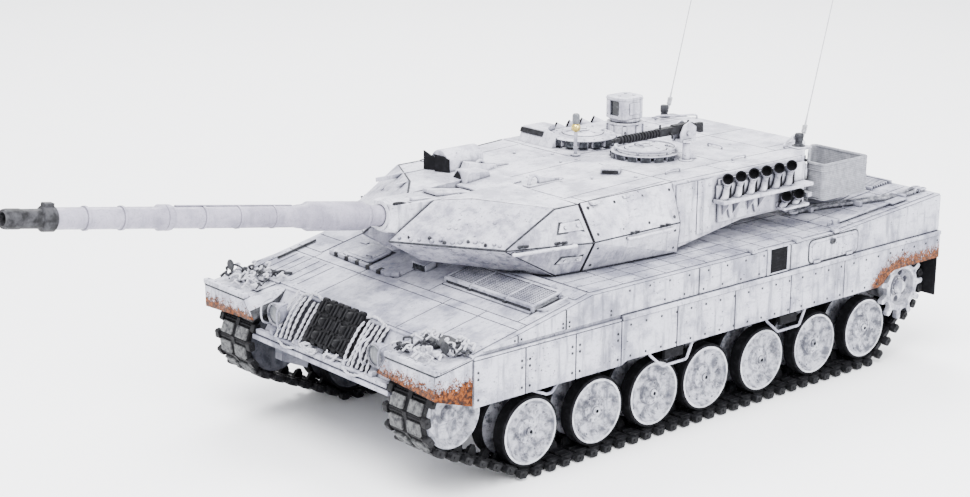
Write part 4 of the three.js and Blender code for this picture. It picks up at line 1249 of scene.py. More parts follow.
def side_walls(foot, face):
    """The plates of an upright side, with a vent's frame, a hatch panel, its hinges and the deck's clips."""
    walls = []
    for y0, y1 in zip(SIDE_SEAMS, SIDE_SEAMS[1:]):
        stops = [y for y in (DECK_FRONT, DECK_RISE) if y0 < y < y1]
        crest = [(y, top_z(y) - 0.9) for y in (y0 + 0.4, *stops, y1 - 0.4)]
        if crest[0][1] <= foot:
            crest[0] = (y0 + 8, foot + 0.3)
        outline = [(crest[0][0], foot), *crest, (y1 - 0.4, foot)]
        walls.append(bevelled(prism(outline, HULL_SIDE - 0.5, face), 0.3))
    vent_way = block(face - 3, face + 3, 35, 51, 92, 107.6)
    walls.append(carved(brick(face - 0.3, face + 0.7, 32, 52, 91, 108.6, 0.3), vent_way))
    walls.append(bevelled(prism(rounded(73, 122, 91.6, 106.2, 3.5), face - 0.3, face + 0.55), 0.3))
    walls.append(bevelled(prism(rounded(75.4, 119.6, 93.6, 104.2, 2.4), face, face + 0.9), 0.3))
    walls += [rod(1.1, -3, 3, 12, "y").at(face + 0.6, y, 91.8) for y in (80, 113)]
    walls += [brick(HULL_SIDE - 3, face + 0.6, y - 2.2, y + 2.2, 107.6, 110.3, 0.5) for y in (20, 62, 100)]
    return walls


def build_hull_sides():
    """Plates, a vent, a hatch panel and fittings on the upright sides over the skirts."""
    foot = SKIRT_TOP + 3.9
    face = HULL_SIDE + 0.9
    walls = side_walls(foot, face)
    spots = [(y, z) for y in (-180.5, -175.5, -143.5, -138.5, -105) for z in (92.4, 95) if z < top_z(y) - 2]
    spots += [(y, 104.6) for y in range(-90, 30, 17)] + [(y, 93.4) for y in range(-60, 30, 17)]
    heads = side_bolts(spots, face, 0.7, 0.5)
    louvre = [brick(face - 0.4, face + 0.2, 34.6, 51.4, 91.6, 108, 0.1)]
    louvre += [block(face, face + 0.5, 35.4, 50.6, z, z + 0.5) for z in np.arange(93.4, 107, 1.9)]
    seams = [block(face - 0.6, face + 0.05, y - 0.5, y + 0.5, foot, top_z(y) - 1) for y in SIDE_SEAMS[1:-1]]
    latch = [(face + 0.6, 93, 102), (face + 1.8, 94, 104), (face + 1.8, 97, 104), (face + 0.6, 98, 102)]
    dark = [prism(rounded(72.1, 122.9, 90.7, 107.1, 4.2), face - 0.3, face + 0.2), *seams,
            tube(curve(latch, 4), 0.6), brick(face + 0.5, face + 1.4, 94, 97.4, 101, 103, 0.3)]
    for side in SIDES:
        piece(f"hull_side_plates_{side}", on_side(together(walls), side), "hull", "skirt")
        piece(f"hull_side_bolts_{side}", on_side(heads, side), "hull", "arm")
        piece(f"hull_side_vents_{side}", on_side(together(louvre), side), "hull", "flap")
        piece(f"hull_side_seams_{side}", on_side(together(dark), side), "hull", "arm")


def fan_guard():
    """A round fan guard about the origin: a frame, rings, spokes and a hub."""
    frame_ring = lathe([(22.6, 0), (26, 0), (26, 2.2), (25, 3), (23.4, 3), (22.6, 2.2)], 64, ring=True)
    rings = [tube([(a, b, 2) for a, b in circle(48, radius)], 0.5, 6, True)
             for radius in (5, 9, 13, 17, 20.6)]
    spokes = [block(4, 23, -0.4, 0.4, 1.4, 2.4).turned("Z", 30 * i) for i in range(12)]
    return together([frame_ring, *rings, *spokes, rod(5, 0, 2.8, 32, soft=0.5)])


def build_deck():
    """Deck plates beside and behind the turret, with fans, grilles, lifting eyes and tow cables."""
    band = plates([63, 90, 101, 112.8], [-119.6, -92, -74, -56, -38, -20, -2, 16, 34, 52, 70, 86, 103.6])
    rear_rows = plates([63, 88, 112.8], [104.2, 122, 142, 162, 182, 209])
    centre_rows = plates([-62, -21, 21, 62], [41, 62, 84, 103.6])
    rear_middle = plates([-20, 20.7], [104.2, 128, 152, 178, 209])
    parts = [both_sides(band), both_sides(rear_rows), centre_rows, rear_middle]
    fan_x, fan_y = 49, 155
    guard = fan_guard()
    blade = spanned(5, 21.5, [(-3, 0.7), (3, 1.2), (3, 1.0), (-3, 0.9)])
    blades = together([blade.turned("Z", 45 * i) for i in range(8)])
    dark = []
    for x in (-fan_x, fan_x):
        parts.append(laid(guard.at(x, fan_y)))
        surround = brick(x - 28, x + 28, 126.5, 183.5, -0.4, 1.4, 0.5)
        parts.append(laid(carved(surround, rod(23, -5, 5, 64).at(x, fan_y))))
        # Painted shade: a dark disc under each guard stands for the shade down the fan's well; the blades
        # over it are dark metal.
        dark += [laid(rod(22.6, -0.2, 0.8, 64).at(x, fan_y)), laid(blades.at(x, fan_y))]
    louvres = [brick(x - 26, x + 26, y, y + 1.2, 0.6, 2.6, 0.3) for x in (-fan_x, fan_x)
               for y in np.arange(188, 206, 2.6)]
    frames = [brick(x - 27.5, x + 27.5, y, y + 1.6, -0.3, 3, 0.3) for x in (-fan_x, fan_x)
              for y in (185.4, 206.6)]
    parts.append(laid(together(louvres + frames)))
    eye = tube(curve([(0, -2.4, 0.4), (0, -2.2, 3), (0, 0, 4.4), (0, 2.2, 3), (0, 2.4, 0.4)], 4), 0.7)
    parts += [laid(eye.at(x, y)) for x in (-104, 104) for y in (108, 200)]
    rows = [(s * x, y) for s in (-1, 1) for x in (66, 85, 110) for y in range(108, 208, 12)]
    parts.append(bolts_on_top(rows, 0.6, 0.45, PLATE))
    piece("deck_plates", together(parts), "hull", "hull")
    piece("deck_fans", together(dark), "hull", "dark")
    build_tow_cables()


def build_tow_cables():
    """Two tow cables clamped along each side of the engine deck, a shovel, and the rail round the rear."""
    rope_r, rope_gap, lay_z = 1.15, 5.2, 2.4
    route = [(66, 112), (72, 130), (82, 150), (92, 172), (98, 190), (97.5, 204)]
    eye = [(2.2 * math.cos(a), 3.4 * math.sin(a)) for a in np.arange(20) * math.tau / 20]
    ropes, clamps = [], []
    for side in SIDES:
        for offset in (0.0, rope_gap):
            path = curve([(x + offset, y, 0) for x, y in route], 8)
            line = [Vector((p.x, p.y, top_z(p.y) + lay_z)) for p in path]
            ropes.append(on_side(tube(line, rope_r, 10), side))
            for end, turn in ((line[0], -1), (line[-1], 1)):
                loop = tube([(a, b + turn * 3, 0) for a, b in eye], 0.75, 8, True)
                clamps.append(on_side(loop.at(*end), side))
        for x, y in ((70, 121), (86.5, 152), (99.5, 183)):
            clamps.append(on_side(laid(brick(x - 3.6, x + 7.8, y - 1.4, y + 1.4, 0.4, 4.2, 0.6)), side))
            clamps.append(on_side(bolts_on_top([(x + 2.1, y)], 1.1, 0.8, 4), side))
        shovel = rod(1.1, 0, 52, 12, "y").at(106, 166, 2.2) + brick(102.5, 109.5, 166, 182, 1.6, 2.8, 0.4)
        clamps.append(on_side(laid(shovel), side))
    piece("tow_cables", together(ropes), "hull", "cable")
    piece("tow_cable_clamps", together(clamps), "hull", "hull")
    corner = [(58, 196), (52, 204), (44, 209.5)]
    bend = [(-x, y) for x, y in corner] + corner[::-1]
    rail = [(x, y, top_z(min(y, HULL_REAR)) + 3) for x, y in bend]
    piece("deck_rear_rail", tube(curve(rail, 5), 1.1, 10), "hull", "arm")


def build_rear_plate():
    """The upright rear face: exhaust grilles, lamps, tow eyes and the mudflaps."""
    y = HULL_REAR
    foot = 82
    parts, dark, lamps = [], [], []
    for x in (-44, 44):
        parts.append(carved(brick(x - 21, x + 21, y - 0.5, y + 1.3, 88, 109, 0.4),
                            block(x - 18.5, x + 18.5, y - 3, y + 4, 90, 107)))
        parts += [bevelled(block(x - 19, x + 19, y - 0.6, y + 1.0, z, z + 1.1).turned("X", 25, (0, y, z)),
                           0.2) for z in np.arange(91, 106.5, 2.3)]
        dark.append(block(x - 18.8, x + 18.8, y - 0.3, y + 0.2, 89.5, 107.5))
    lamp = rod(2, -1.4, 0, 24, "y", 0.3)
    for sign in (-1, 1):
        lamp_x, eye_x = sign * 78, sign * 100
        parts.append(brick(lamp_x - 6, lamp_x + 6, y - 0.5, y + 1.2, 96, 106, 0.4))
        lamps += [lamp.at(lamp_x + across, y + 0.9, 101) for across in (-2.6, 2.6)]
        parts.append(brick(eye_x - 9, eye_x + 9, y - 0.5, y + 0.9, 92, 110, 0.5))
    parts.append(brick(-14, 14, y - 0.5, y + 1.0, 88, 108, 0.5))
    parts.append(brick(-110, 110, y - 0.5, y + 1.2, foot, foot + 3, 0.4))
    head = bolt(0.7, 0.6).turned("X", -90)
    parts += [head.at(x, y + 1.0, z) for x in (-11, 11) for z in (91, 98, 105)]
    parts += [head.at(x, y + 1.1, foot + 1.5) for x in range(-104, 105, 13)]
    piece("rear_plate_fittings", together(parts), "hull", "skirt")
    piece("exhaust_darkness", together(dark), "hull", "dark")
    piece("rear_lamps", together(lamps), "hull", "lamp")
    for side in SIDES:
        node = f"mudflap_{side}"
        half_x, half_y, half_z = reach(node)
        sheet = brick(-half_x, half_x, -half_y, half_y, -half_z, half_z, 0.4)
        ribs = [brick(-half_x + 3, half_x - 3, half_y - 0.3, half_y + 0.4, z, z + 1.4, 0.2)
                for z in (-half_z + 4, -half_z + 9)]
        piece(f"mudflap_sheet_{side}", together([sheet, *ribs]).at(*centre(node)), "hull", "flap", [node])


def finish_cad(node, finish, edge_width=0.0):
    """Keeps a CAD node's shape and gives it a finish, and rounds its edges where a width is given."""
    made = frame["nodes"][node]
    made.data.materials.clear()
    made.data.materials.append(FINISH[finish])
    if edge_width:
        edge = made.modifiers.new("edges", "BEVEL")
        edge.width, edge.segments, edge.limit_method = edge_width * MM, 2, "ANGLE"
        edge.angle_limit = math.radians(40)


def build_hull_inside():
    finish_cad("hull_tub", "tub", 0.5)
    finish_cad("battery_door", "hull", 0.4)
    finish_cad("power_switch", "switch", 0.3)
    finish_cad("battery_pack", "battery", 1.5)
    finish_cad("control_board", "board")
    for side in SIDES:
        finish_cad(f"drive_unit_{side}", "gearbox", 0.6)


def build_hull():
    build_upper_hull()
    build_glacis()
    build_driver_station()
    build_rack()
    build_nose()
    build_mudguards()
    build_fender_gear()
    build_skirts()
    build_footsteps()
    build_hull_sides()
    build_deck()
    build_rear_plate()
    build_hull_inside()


# ---- Turret ----------------------------------------------------------------------------------------------

def joint(name):
    return next(j for j in frame["record"]["behaviour"]["joints"] if j["name"] == name)


def hull_point(place):
    """A point of the record, in hull millimetres."""
    x, y, z = place
    return x / MM, (y - MID_Y) / MM, z / MM


TRUNNION = hull_point(joint("gun_elevation")["pos_m"])
GUN_RISE = math.degrees(math.asin(-joint("gun_recoil")["axis"][2]))
RING_Y = hull_point(joint("turret_traverse")["pos_m"])[1]
ROOF_Z = 153
TURRET_FOOT = 109.4
COMMANDER, LOADER = centre("commander_hatch")[:1] + (14,), centre("loader_hatch")[:1] + (21,)
WEDGE_REAR, MODULE_FRONT, MODULE_REAR = -95.6, -94.6, -20

# The left front module's corners: a knife edge at mid height, swept back to the side.
TIP_IN, TIP_OUT = (12.6, -189.5, 130), (72.6, -149.9, 130)
BROW_IN, BROW_MID, BROW_OUT = (12.6, -155, 149.5), (30, -139.7, 151.5), (75, -113.8, 150)
BACK_TOP, BACK_EDGE = (75.6, WEDGE_REAR, 150), (89.5, WEDGE_REAR, 129.2)
BACK_FOOT = (78.3, WEDGE_REAR, TURRET_FOOT)
CHIN_OUT, CHIN_IN = (75.7, -113.5, TURRET_FOOT), (12.6, -166, 115.3)
BACK_IN = ((12.6, WEDGE_REAR, TURRET_FOOT), (12.6, WEDGE_REAR, 152.6))
SIDE_TOP, SIDE_EDGE = (80.5, MODULE_REAR, ROOF_Z), (88.5, MODULE_REAR, 129)
SIDE_FOOT = (86.5, MODULE_REAR, 110.2)
FRONT_TOP, FRONT_EDGE = (75.6, MODULE_FRONT, 150.4), (89.5, MODULE_FRONT, 129.2)
FRONT_FOOT = (78.3, MODULE_FRONT, TURRET_FOOT)

# The front module's upper face, upper flank, lower face and lower flank, and the side module's two faces.
MODULE_FACES = ((TIP_IN, TIP_OUT, BROW_OUT, BROW_MID, BROW_IN), (TIP_OUT, BACK_EDGE, BACK_TOP, BROW_OUT),
                (TIP_IN, TIP_OUT, CHIN_OUT, CHIN_IN), (TIP_OUT, BACK_EDGE, BACK_FOOT, CHIN_OUT))
MODULE_SIDES = ((FRONT_EDGE, SIDE_EDGE, SIDE_TOP, FRONT_TOP), (FRONT_EDGE, SIDE_EDGE, SIDE_FOOT, FRONT_FOOT))
SIGHT_SHIFT = 0.6  # how far the panoramic sight's head stands behind the middle of its CAD node


def outward(normal, point):
    """The normal, turned to point away from the turret's middle line."""
    away = point - Vector((0, point.y * 0.55, 128))
    return -normal if normal.dot(away) < 0 else normal


def face_plate(corners):
    """A thin plate on a flat face, drawn in from the face's corners so that a seam shows round it."""
    thick, sunk, inset, edge = 0.9, 0.6, 0.4, 0.25
    corners = [Vector(c) for c in corners]
    heart = sum(corners, Vector()) / len(corners)
    normal = outward((corners[1] - corners[0]).cross(corners[-1] - corners[0]).normalized(), heart)
    drawn = [c + (heart - c).normalized() * inset * 1.4 for c in corners]
    return bevelled(convex([p - normal * sunk for p in drawn] + [p + normal * thick for p in drawn], 6), edge)


def on_face(corners, spots, height=0.6, radius=0.75, lift=0.6):
    """Bolt heads on a four-cornered face, at shares (along, up) of its sides."""
    a, b, c, d = [Vector(p) for p in corners]
    normal = outward((b - a).cross(d - a).normalized(), a)
    turn = Vector((0, 0, 1)).rotation_difference(normal).to_matrix()
    head = bolt(radius, height)
    made = []
    for u, v in spots:
        place = a.lerp(b, u).lerp(d.lerp(c, u), v) + normal * lift
        made.append(Solid(head.points @ np.array(turn).T + np.array(place), head.faces))
    return together(made)


def stations(rows):
    """The hull over cross-sections: each is y and half an outline of (x, z)."""
    return convex([(s * x, y, z) for y, half in rows for x, z in half for s in (1, -1)])


def on_roof(solid):
    """A solid drawn on z = 0, laid on the roof, which falls a little towards the front."""
    lift = np.interp(solid.points[:, 1], (MODULE_FRONT, MODULE_REAR), (150.4, ROOF_Z))
    return Solid(solid.points + np.outer(lift, (0, 0, 1)), solid.faces)


def on_flank(y, z, out=0.0, lower=False):
    """A point on the swept side of the left front module."""
    ends = (CHIN_OUT, BACK_FOOT) if lower else (BROW_OUT, BACK_TOP)
    found = []
    for corners in ((TIP_OUT, BACK_EDGE, ends[0]), (BACK_EDGE, *ends)):
        a, b, c = [np.array(p) for p in corners]
        normal = np.cross(b - a, c - a)
        normal /= np.linalg.norm(normal) * (1 if normal[0] > 0 else -1)
        x = a[0] - (normal[1] * (y - a[1]) + normal[2] * (z - a[2])) / normal[0]
        found.append((x, tuple(np.array((x, y, z)) + normal * out)))
    return min(found)[1]


def turret_shell():
    """The hollow turret body with its hatchways, and the ring that it turns on."""
    shoulder = [(83.5, ROOF_Z), (84, 120)]
    outer = [stations([(MODULE_FRONT, [FRONT_TOP[::2], FRONT_EDGE[::2], FRONT_FOOT[::2]]),
                       (MODULE_REAR, [SIDE_TOP[::2], SIDE_EDGE[::2], SIDE_FOOT[::2]])]),
             stations([(-21, [(83.5, ROOF_Z), (84, 110.4)]), (42, shoulder)]),
             stations([(41, shoulder), (104, [(82.5, ROOF_Z), (83.5, 120)]),
                       (141, [(52, ROOF_Z), (52, 121)])])]
    top = ROOF_Z - 2.4
    wall = [(80, top), (81, 122.4)]
    inner = [stations([(-92.6, [(72, 147.8), (85, 129.2), (74, 112)]),
                       (-20, [(78, top), (84, 129), (82, 112.6)])]),
             stations([(-21, [(80, top), (81, 113.2)]), (42, wall)]),
             stations([(41, wall), (102, [(79, top), (80, 122.4)]), (138, [(50, top), (50, 123.4)])]),
             rod(56, 90, 130, 64).at(y=RING_Y)]
    hatchways = [rod(11.3, 140, 165, 48).at(x, y) for x, y in (COMMANDER, LOADER)]
    shell = carved(together([bevelled(solid, 0.7) for solid in outer]), *inner, *hatchways)
    ring = lathe([(59, 104), (59, 124), (56, 124), (56, 101), (58, 101), (58, 104)], 96, ring=True)
    return shell + ring.at(y=RING_Y)


def left_armour():
    """The left front module's body, the side module's faces, the roof plates and the flank's plates."""
    wedge = convex([TIP_IN, TIP_OUT, BROW_IN, BROW_MID, BROW_OUT, BACK_TOP, BACK_EDGE, BACK_FOOT, CHIN_OUT,
                    CHIN_IN, *BACK_IN], 3)
    trunnion_way = rod(16.8, 10, 20, 64, "x").at(0, *TRUNNION[1:])
    parts = [carved(bevelled(wedge, 0.5), trunnion_way)] + [face_plate(face) for face in MODULE_SIDES]
    parts += [on_roof(brick(x0, x1, y0, y1, -0.6, 0.4, 0.2))
              for x0, x1, y0, y1 in ((62, 80, -18, 30), (62, 81.5, 30.8, 103), (0.4, 61.2, 46, 99),
                                     (0.4, 51, 99.8, 139), (51.8, 61.2, 99.8, 128), (0.4, 61.2, -93, -21),
                                     (14, 61.2, -19, 45.2), (62, 75, -88, -21))]
    parts += [brick(83.2, 84.6, y0, y1, z0, 151.6, 0.3) for y0, y1, z0 in ((-19.4, -1, 114), (-0.2, 13, 117))]
    parts.append(side_bolts([(y, z) for y in (-16, -5, 4, 10) for z in (120, 134, 148)], 84.6, 0.7, 0.5))
    return parts


def face_fittings():
    """The plates and knocks on the left front module's faces, and the dark seams and bolts of its edges."""
    upper, flank, lower, lower_flank = MODULE_FACES
    upper_side, lower_side = MODULE_SIDES
    plated = [face_plate(face) for face in (upper, flank, lower, lower_flank)]
    edges = ((TIP_IN, TIP_OUT, BACK_EDGE, FRONT_EDGE, SIDE_EDGE), (TIP_OUT, BROW_OUT, BACK_TOP),
             (TIP_OUT, CHIN_OUT), (TIP_IN, BROW_IN, BROW_MID, BROW_OUT), (FRONT_TOP, SIDE_TOP),
             (SIDE_TOP, SIDE_EDGE, SIDE_FOOT))
    seams = [bar(a, b, 0.55, 6) for line in edges for a, b in zip(line, line[1:])]
    plated.append(on_face(flank, [(0.12, 0.16), (0.4, 0.62), (0.62, 0.25), (0.85, 0.72), (0.93, 0.16)]))
    upper_spots = [(u, v) for u in (0.06, 0.34, 0.64, 0.94) for v in (0.16, 0.84)]
    lower_spots = [(u, v) for u in (0.06, 0.5, 0.94) for v in (0.2, 0.8)]
    heads = [on_face(upper_side, upper_spots, 0.7, 1.1, 0.9), on_face(lower_side, lower_spots, 0.7, 1.0, 0.9)]
    rng = random.Random(3)
    slope = (TIP_IN, TIP_OUT, BROW_OUT, BROW_MID)
    for i in range(16):
        spot = (0.05 + 0.058 * i, rng.uniform(0.04, 0.13))
        knock = on_face(slope, [spot], rng.uniform(0.9, 1.8), rng.uniform(0.7, 1.5), 0.9)
        (seams if i % 3 == 1 else plated).append(knock)
    plated.append(on_face(lower, [(0.06 + 0.11 * i, 0.1) for i in range(9)], 0.7, 0.9, 0.9))
    plated.append(on_face(slope, [(0.3, 0.35), (0.36, 0.36), (0.62, 0.55)], 0.9, 1.2, 0.9))
    return plated, seams + heads


def module_gap(top, foot, out_x, out_z):
    """The dark joint behind the front module, along one of the side's two slopes."""
    return convex([(x + out * out_x, y, z + out * out_z) for x, z in (top, foot) for out in (-3, 0.35)
                   for y in (-96.5, -93.5)])


def build_turret_armour():
    brow = bevelled(spanned(-14.6, 14.6, [(-117, 147.8), (-117, 149.4), (-86, 152.4), (-86, 148.6)]), 0.4)
    armour = together([turret_shell(), brow, *[both_sides(solid) for solid in left_armour()]])
    plated, seams = face_fittings()
    piece("turret_armour", armour, "turret", "turret", ["turret_shell"])
    piece("turret_face_plates", both_sides(together(plated)), "turret", "wedge")
    piece("turret_seams", both_sides(together(seams)), "turret", "arm")
    # Painted shade: a dark strip lies on the rear corner where the bin shades it, and a black block fills the
    # turret behind the front modules' gaps; the gaps themselves are dark joints.
    rear_corner_shade = convex([(x, y + out, z) for x, y in ((82.8, 104.3), (75.4, 113.4)) for out in (-0.6, 0.7)
                          for z in (123, 150.5)])
    gaps = [module_gap((75.6, 150.2), (89.5, 129.2), 0.83, 0.55),
            module_gap((89.5, 129.2), (78.3, 109.4), 0.87, -0.49), rear_corner_shade]
    gap_shade_core = block(-70, 70, -99.6, -90.6, 111.6, 148.2)
    piece("turret_gaps_and_shade", gap_shade_core + both_sides(together(gaps)), "turret", "flap")


def build_turret_rails():
    """Grab rails, brackets, hooks and lifting eyes on the turret."""
    def along(a, b, t, off=(0, 0, 0)):
        return tuple(Vector(a).lerp(Vector(b), t) + Vector(off))

    def rail(start, end, radius=0.75, stand=(2.2, -1, 0)):
        foot = [tuple(np.subtract(p, stand)) for p in (start, end)]
        return tube(curve([foot[0], start, tuple(Vector(start).lerp(Vector(end), 0.5)), end, foot[1]], 4),
                    radius)

    left = [rail(along(TIP_OUT, BACK_EDGE, 0.08, (2.8, 0, -2.2)),
                 along(TIP_OUT, BACK_EDGE, 0.74, (3.4, 0, 0)), 1.1)]
    dark = []
    for z0, z1, lower in ((135.6, 142.4, False), (117.4, 122.6, True)):
        for grow, out, into in ((0, 1.1, dark), (0.9, 1.7, left)):
            corners = [(-117 + grow * 1.4, z0 + grow), (-99 - grow, z0 + grow), (-99.6 - grow, z1 - grow),
                       (-114 + grow, z1 - grow)]
            into.append(convex([on_flank(y, z, share, lower) for y, z in corners for share in (0, out)]))
        left += [bar(on_flank(y, (z0 + z1) / 2, 0.4, lower), on_flank(y, (z0 + z1) / 2, 2.6, lower), 0.9)
                 for y in (-111, -103.4)]
    dark += [bar(along(TIP_OUT, BACK_EDGE, t, (0, 0, 1.6)), along(TIP_OUT, BACK_EDGE, t + 0.02, (3, 0, 2.6)),
                 0.9) for t in (0.14, 0.2, 0.56, 0.64)]
    left.append(rail((92.6, -66, 127.4), (92.2, -29, 127.4), 1.0, (4, 0, 0)))
    dark += [bar((88, y, 129.6), (92.2, y + 1, 130.4), 0.9) for y in (-64, -60, -38, -33)]
    eye_x, eye_y = 26, -86
    eye = [(eye_x, eye_y + 4.6 * math.cos(a), 150.6 + 7 * math.sin(a)) for a in np.linspace(0, math.pi, 14)]
    left.append(tube(eye, 1.1, 10))
    left.append(bevelled(convex([(eye_x + a, eye_y + b, c) for a in (-1.2, 1.2)
                                 for b, c in ((3.4, 150), (3.4, 156), (24, 151), (24, 152.6))]), 0.3))
    left.append(brick(eye_x - 3, eye_x + 3, eye_y - 7, eye_y + 26, 150.2, 152.0, 0.4))
    left.append(rail((60, 110, 156), (46, 136, 156), 0.7, (0, 0, 4)))
    lip = [brick(77, 81, y, y + 6, 149.4, 151.2, 0.4) for y in (-88, -62, -38)]
    piece("turret_rails", both_sides(together(left + lip)), "turret", "turret")
    piece("turret_bracket_shadows", both_sides(together(dark)), "turret", "arm")


def periscope():
    """A periscope facing -Y on z = 0, as its hood and its glass."""
    half, deep, tall = 3.2, 3.2, 4.2
    hood = brick(-half, half, -0.4, deep, 0, tall, 0.4)
    pane = brick(-half + 0.4, half - 0.4, -1.2, 0.2, 0.2, tall - 0.3, 0.15)
    return hood, pane


def build_cupolas():
    """The commander's and the loader's rings, with periscopes round them and a rail round the loader's."""
    white, panes = [], []
    hood, pane = periscope()
    for node, (x, y), angles in (("commander_hatch", COMMANDER, range(-168, 190, 24)),
                                 ("loader_hatch", LOADER, range(-70, 96, 23))):
        lid_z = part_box(node)[0].z / MM
        top = lid_z - 157.4
        base = lathe([(11.4, 152), (22.2, 152), (22.6, 153.6), (21.2, 154.2), (17.4, 154.4),
                      (17.4, 156.2 + top), (22.4, 156.3 + top), (23, 156.8 + top), (22.4, 157.4 + top),
                      (16, 157.4 + top), (15, 158.4 + top), (14.4, 158.4 + top), (14.4, 156.6 + top),
                      (11.4, 156.6 + top)], 72, ring=True)
        rim = together([bolt(0.6, 0.5).at(a, b, lid_z) for a, b in circle(18, 19.6)])
        white.append((base + rim).at(x, y))
        for made, solid in ((white, hood), (panes, pane)):
            made.extend(solid.at(0, -22.2, 152.3 + top).turned("Z", angle).at(x, y) for angle in angles)
    x, y = LOADER
    rail_r, rail_z = 20, 159.6
    white.append(tube([(x + a, y + b, rail_z) for a, b in circle(60, rail_r)], 0.9, 8, True))
    white += [rod(0.9, 157, rail_z, 10).at(x + a, y + b) for a, b in circle(6, rail_r)]
    piece("cupola_rings", together(white), "turret", "turret")
    piece("cupola_glass", together(panes), "turret", "optic")


def build_hatch(node, x, y):
    low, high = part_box(node)
    z = low.z / MM
    top = high.z / MM - z
    lid = lathe([(0, 0), (13.2, 0), (13.8, 0.6), (13.8, top - 1.0), (12.8, top - 0.2), (8, top + 0.5),
                 (0, top + 0.7)], 64)
    ribs = together([brick(-0.7, 0.7, 3, 11.8, top - 0.6, top + 0.7, 0.3).turned("Z", a)
                     for a in (35, 155, 275)])
    handle = tube(curve([(-4, -6, top), (-4, -6, top + 1.8), (0, -7, top + 2.2), (4, -6, top + 1.8),
                         (4, -6, top)], 4), 0.55)
    hinge = together([brick(-4, 4, 10.8, 15.6, 0, 2, 0.4), rod(1.0, -4.6, 4.6, 16, "x").at(0, 15.4, 1.3)])
    centre_ring = lathe([(3, top + 0.4), (4.6, top + 0.4), (4.6, top + 1.1), (3, top + 1.1)], 32, ring=True)
    piece(f"{node}_lid", together([lid, ribs, handle, hinge, centre_ring]).at(x, y, z), node, "turret",
          [node])


def add_gunner_sight(parts):
    """A round-topped housing with open black shutters, two smaller housings and the trough before them."""
    arch = [(-49.6, 148)] + [(-41 + 8.6 * math.cos(a), 157 + 8 * math.sin(a))
                             for a in np.linspace(math.pi, 0, 16)]
    arch.append((-32.4, 148))
    parts["white"] += [
        carved(bevelled(prism(arch, -107, -77, "y"), 0.7), block(-47, -35, -112, -102, 151, 161.5)),
        bevelled(convex([(-32, -100, 149), (-22, -100, 149), (-32, -72, 149), (-22, -72, 149),
                         (-31, -96, 158), (-24, -96, 158), (-30, -74, 154), (-24, -74, 154)]), 0.8, 3)]
    parts["glass"].append(block(-47.4, -34.6, -103, -101.6, 150.6, 161.8))
    zigzag = [(-52.4, -110.5, 163.4), (-43.6, -107, 158.6), (-41.4, -110, 162.4), (-31, -107, 160.4)]
    shutter_foot, half_thick = 148.6, 0.4
    for ends in zip(zigzag, zigzag[1:]):
        parts["shutters"].append(convex([(x, y + into, z) for x, y, top in ends
                                         for into in (-half_thick, half_thick) for z in (shutter_foot, top)]))
    parts["white"].append(bevelled(spanned(-21.6, -8, [(-113, 149), (-91, 149), (-110, 156.8), (-93, 155.4)]),
                                   1.2, 3))
    parts["shutters"].append(convex([(-21.4, -113.8, 150), (-12, -113.8, 150), (-17.4, -111.6, 156.6),
                                     (-21.4, -111, 150), (-12, -111, 150)]))
    parts["white"] += [brick(x, x + 1.1, -150, -112, 148.6, 151.4, 0.3) for x in (-52, -31.5)]


def add_roof_boxes(parts):
    """A sloped case before the commander's ring, and a small box turned towards the front left."""
    case = bevelled(spanned(-71, -37, [(-14, 152.6), (10, 152.6), (-9, 163.4), (10, 163.4)]), 0.8, 3)
    parts["white"].append(carved(case, rod(23.4, 150, 170, 64).at(*COMMANDER)))
    parts["dark"].append(bevelled(spanned(-71.4, -49, [(-11.6, 159.4), (-10.2, 162.6), (-8, 162.6),
                                                       (-8, 159.4)]), 0.2))
    turn, about = 40, (35, -28, 0)
    parts["white"].append(brick(29, 41, -36, -24, 152.6, 156.6, 0.6).turned("Z", turn, about))
    parts["dark"].append(block(30, 40, -36.5, -35.6, 153.5, 155.4).turned("Z", turn, about))


def add_beacon(parts):
    """The warning beacon: a post, a brass ball and a lens."""
    x, y = -12.6, -14.5
    post = together([rod(1.2, 152, 170, 16), rod(3.2, 153, 154.6, 24, soft=0.4), rod(1.6, 158, 159.2, 16)])
    parts["white"].append(post.at(x, y))
    radius, ball_z = 3.1, 172
    bulge = [(radius * math.sin(a), -radius * math.cos(a)) for a in np.linspace(0.2, math.pi - 0.2, 14)]
    ball = lathe([(0, -radius), *bulge, (0, radius)], 32)
    piece("beacon_ball", ball.at(x, y, ball_z), "turret", "brass")
    lens = lathe([(0, 174.6), (2.2, 174.6), (2.5, 176), (2.5, 180), (1.8, 181.2), (0, 181.6)], 24)
    piece("beacon_lens", lens.at(x, y), "turret", "lamp")


def add_sight_base(parts):
    """The fixed ribbed drum under the panoramic sight."""
    x, y, _ = centre("panoramic_sight")
    drum = lathe([(0, 152), (14, 152), (14, 153.4), (12.4, 154.2), (12, 155), (12, 160.6), (12.6, 161),
                  (12.6, 162), (0, 162)], 64)
    rib = brick(-1.4, 1.4, -13.2, -11.6, 153.4, 160, 0.3)
    parts["white"].append(drum.at(x, y + SIGHT_SHIFT))
    parts["white"] += [rib.turned("Z", 45 * i).at(x, y + SIGHT_SHIFT) for i in range(8)]


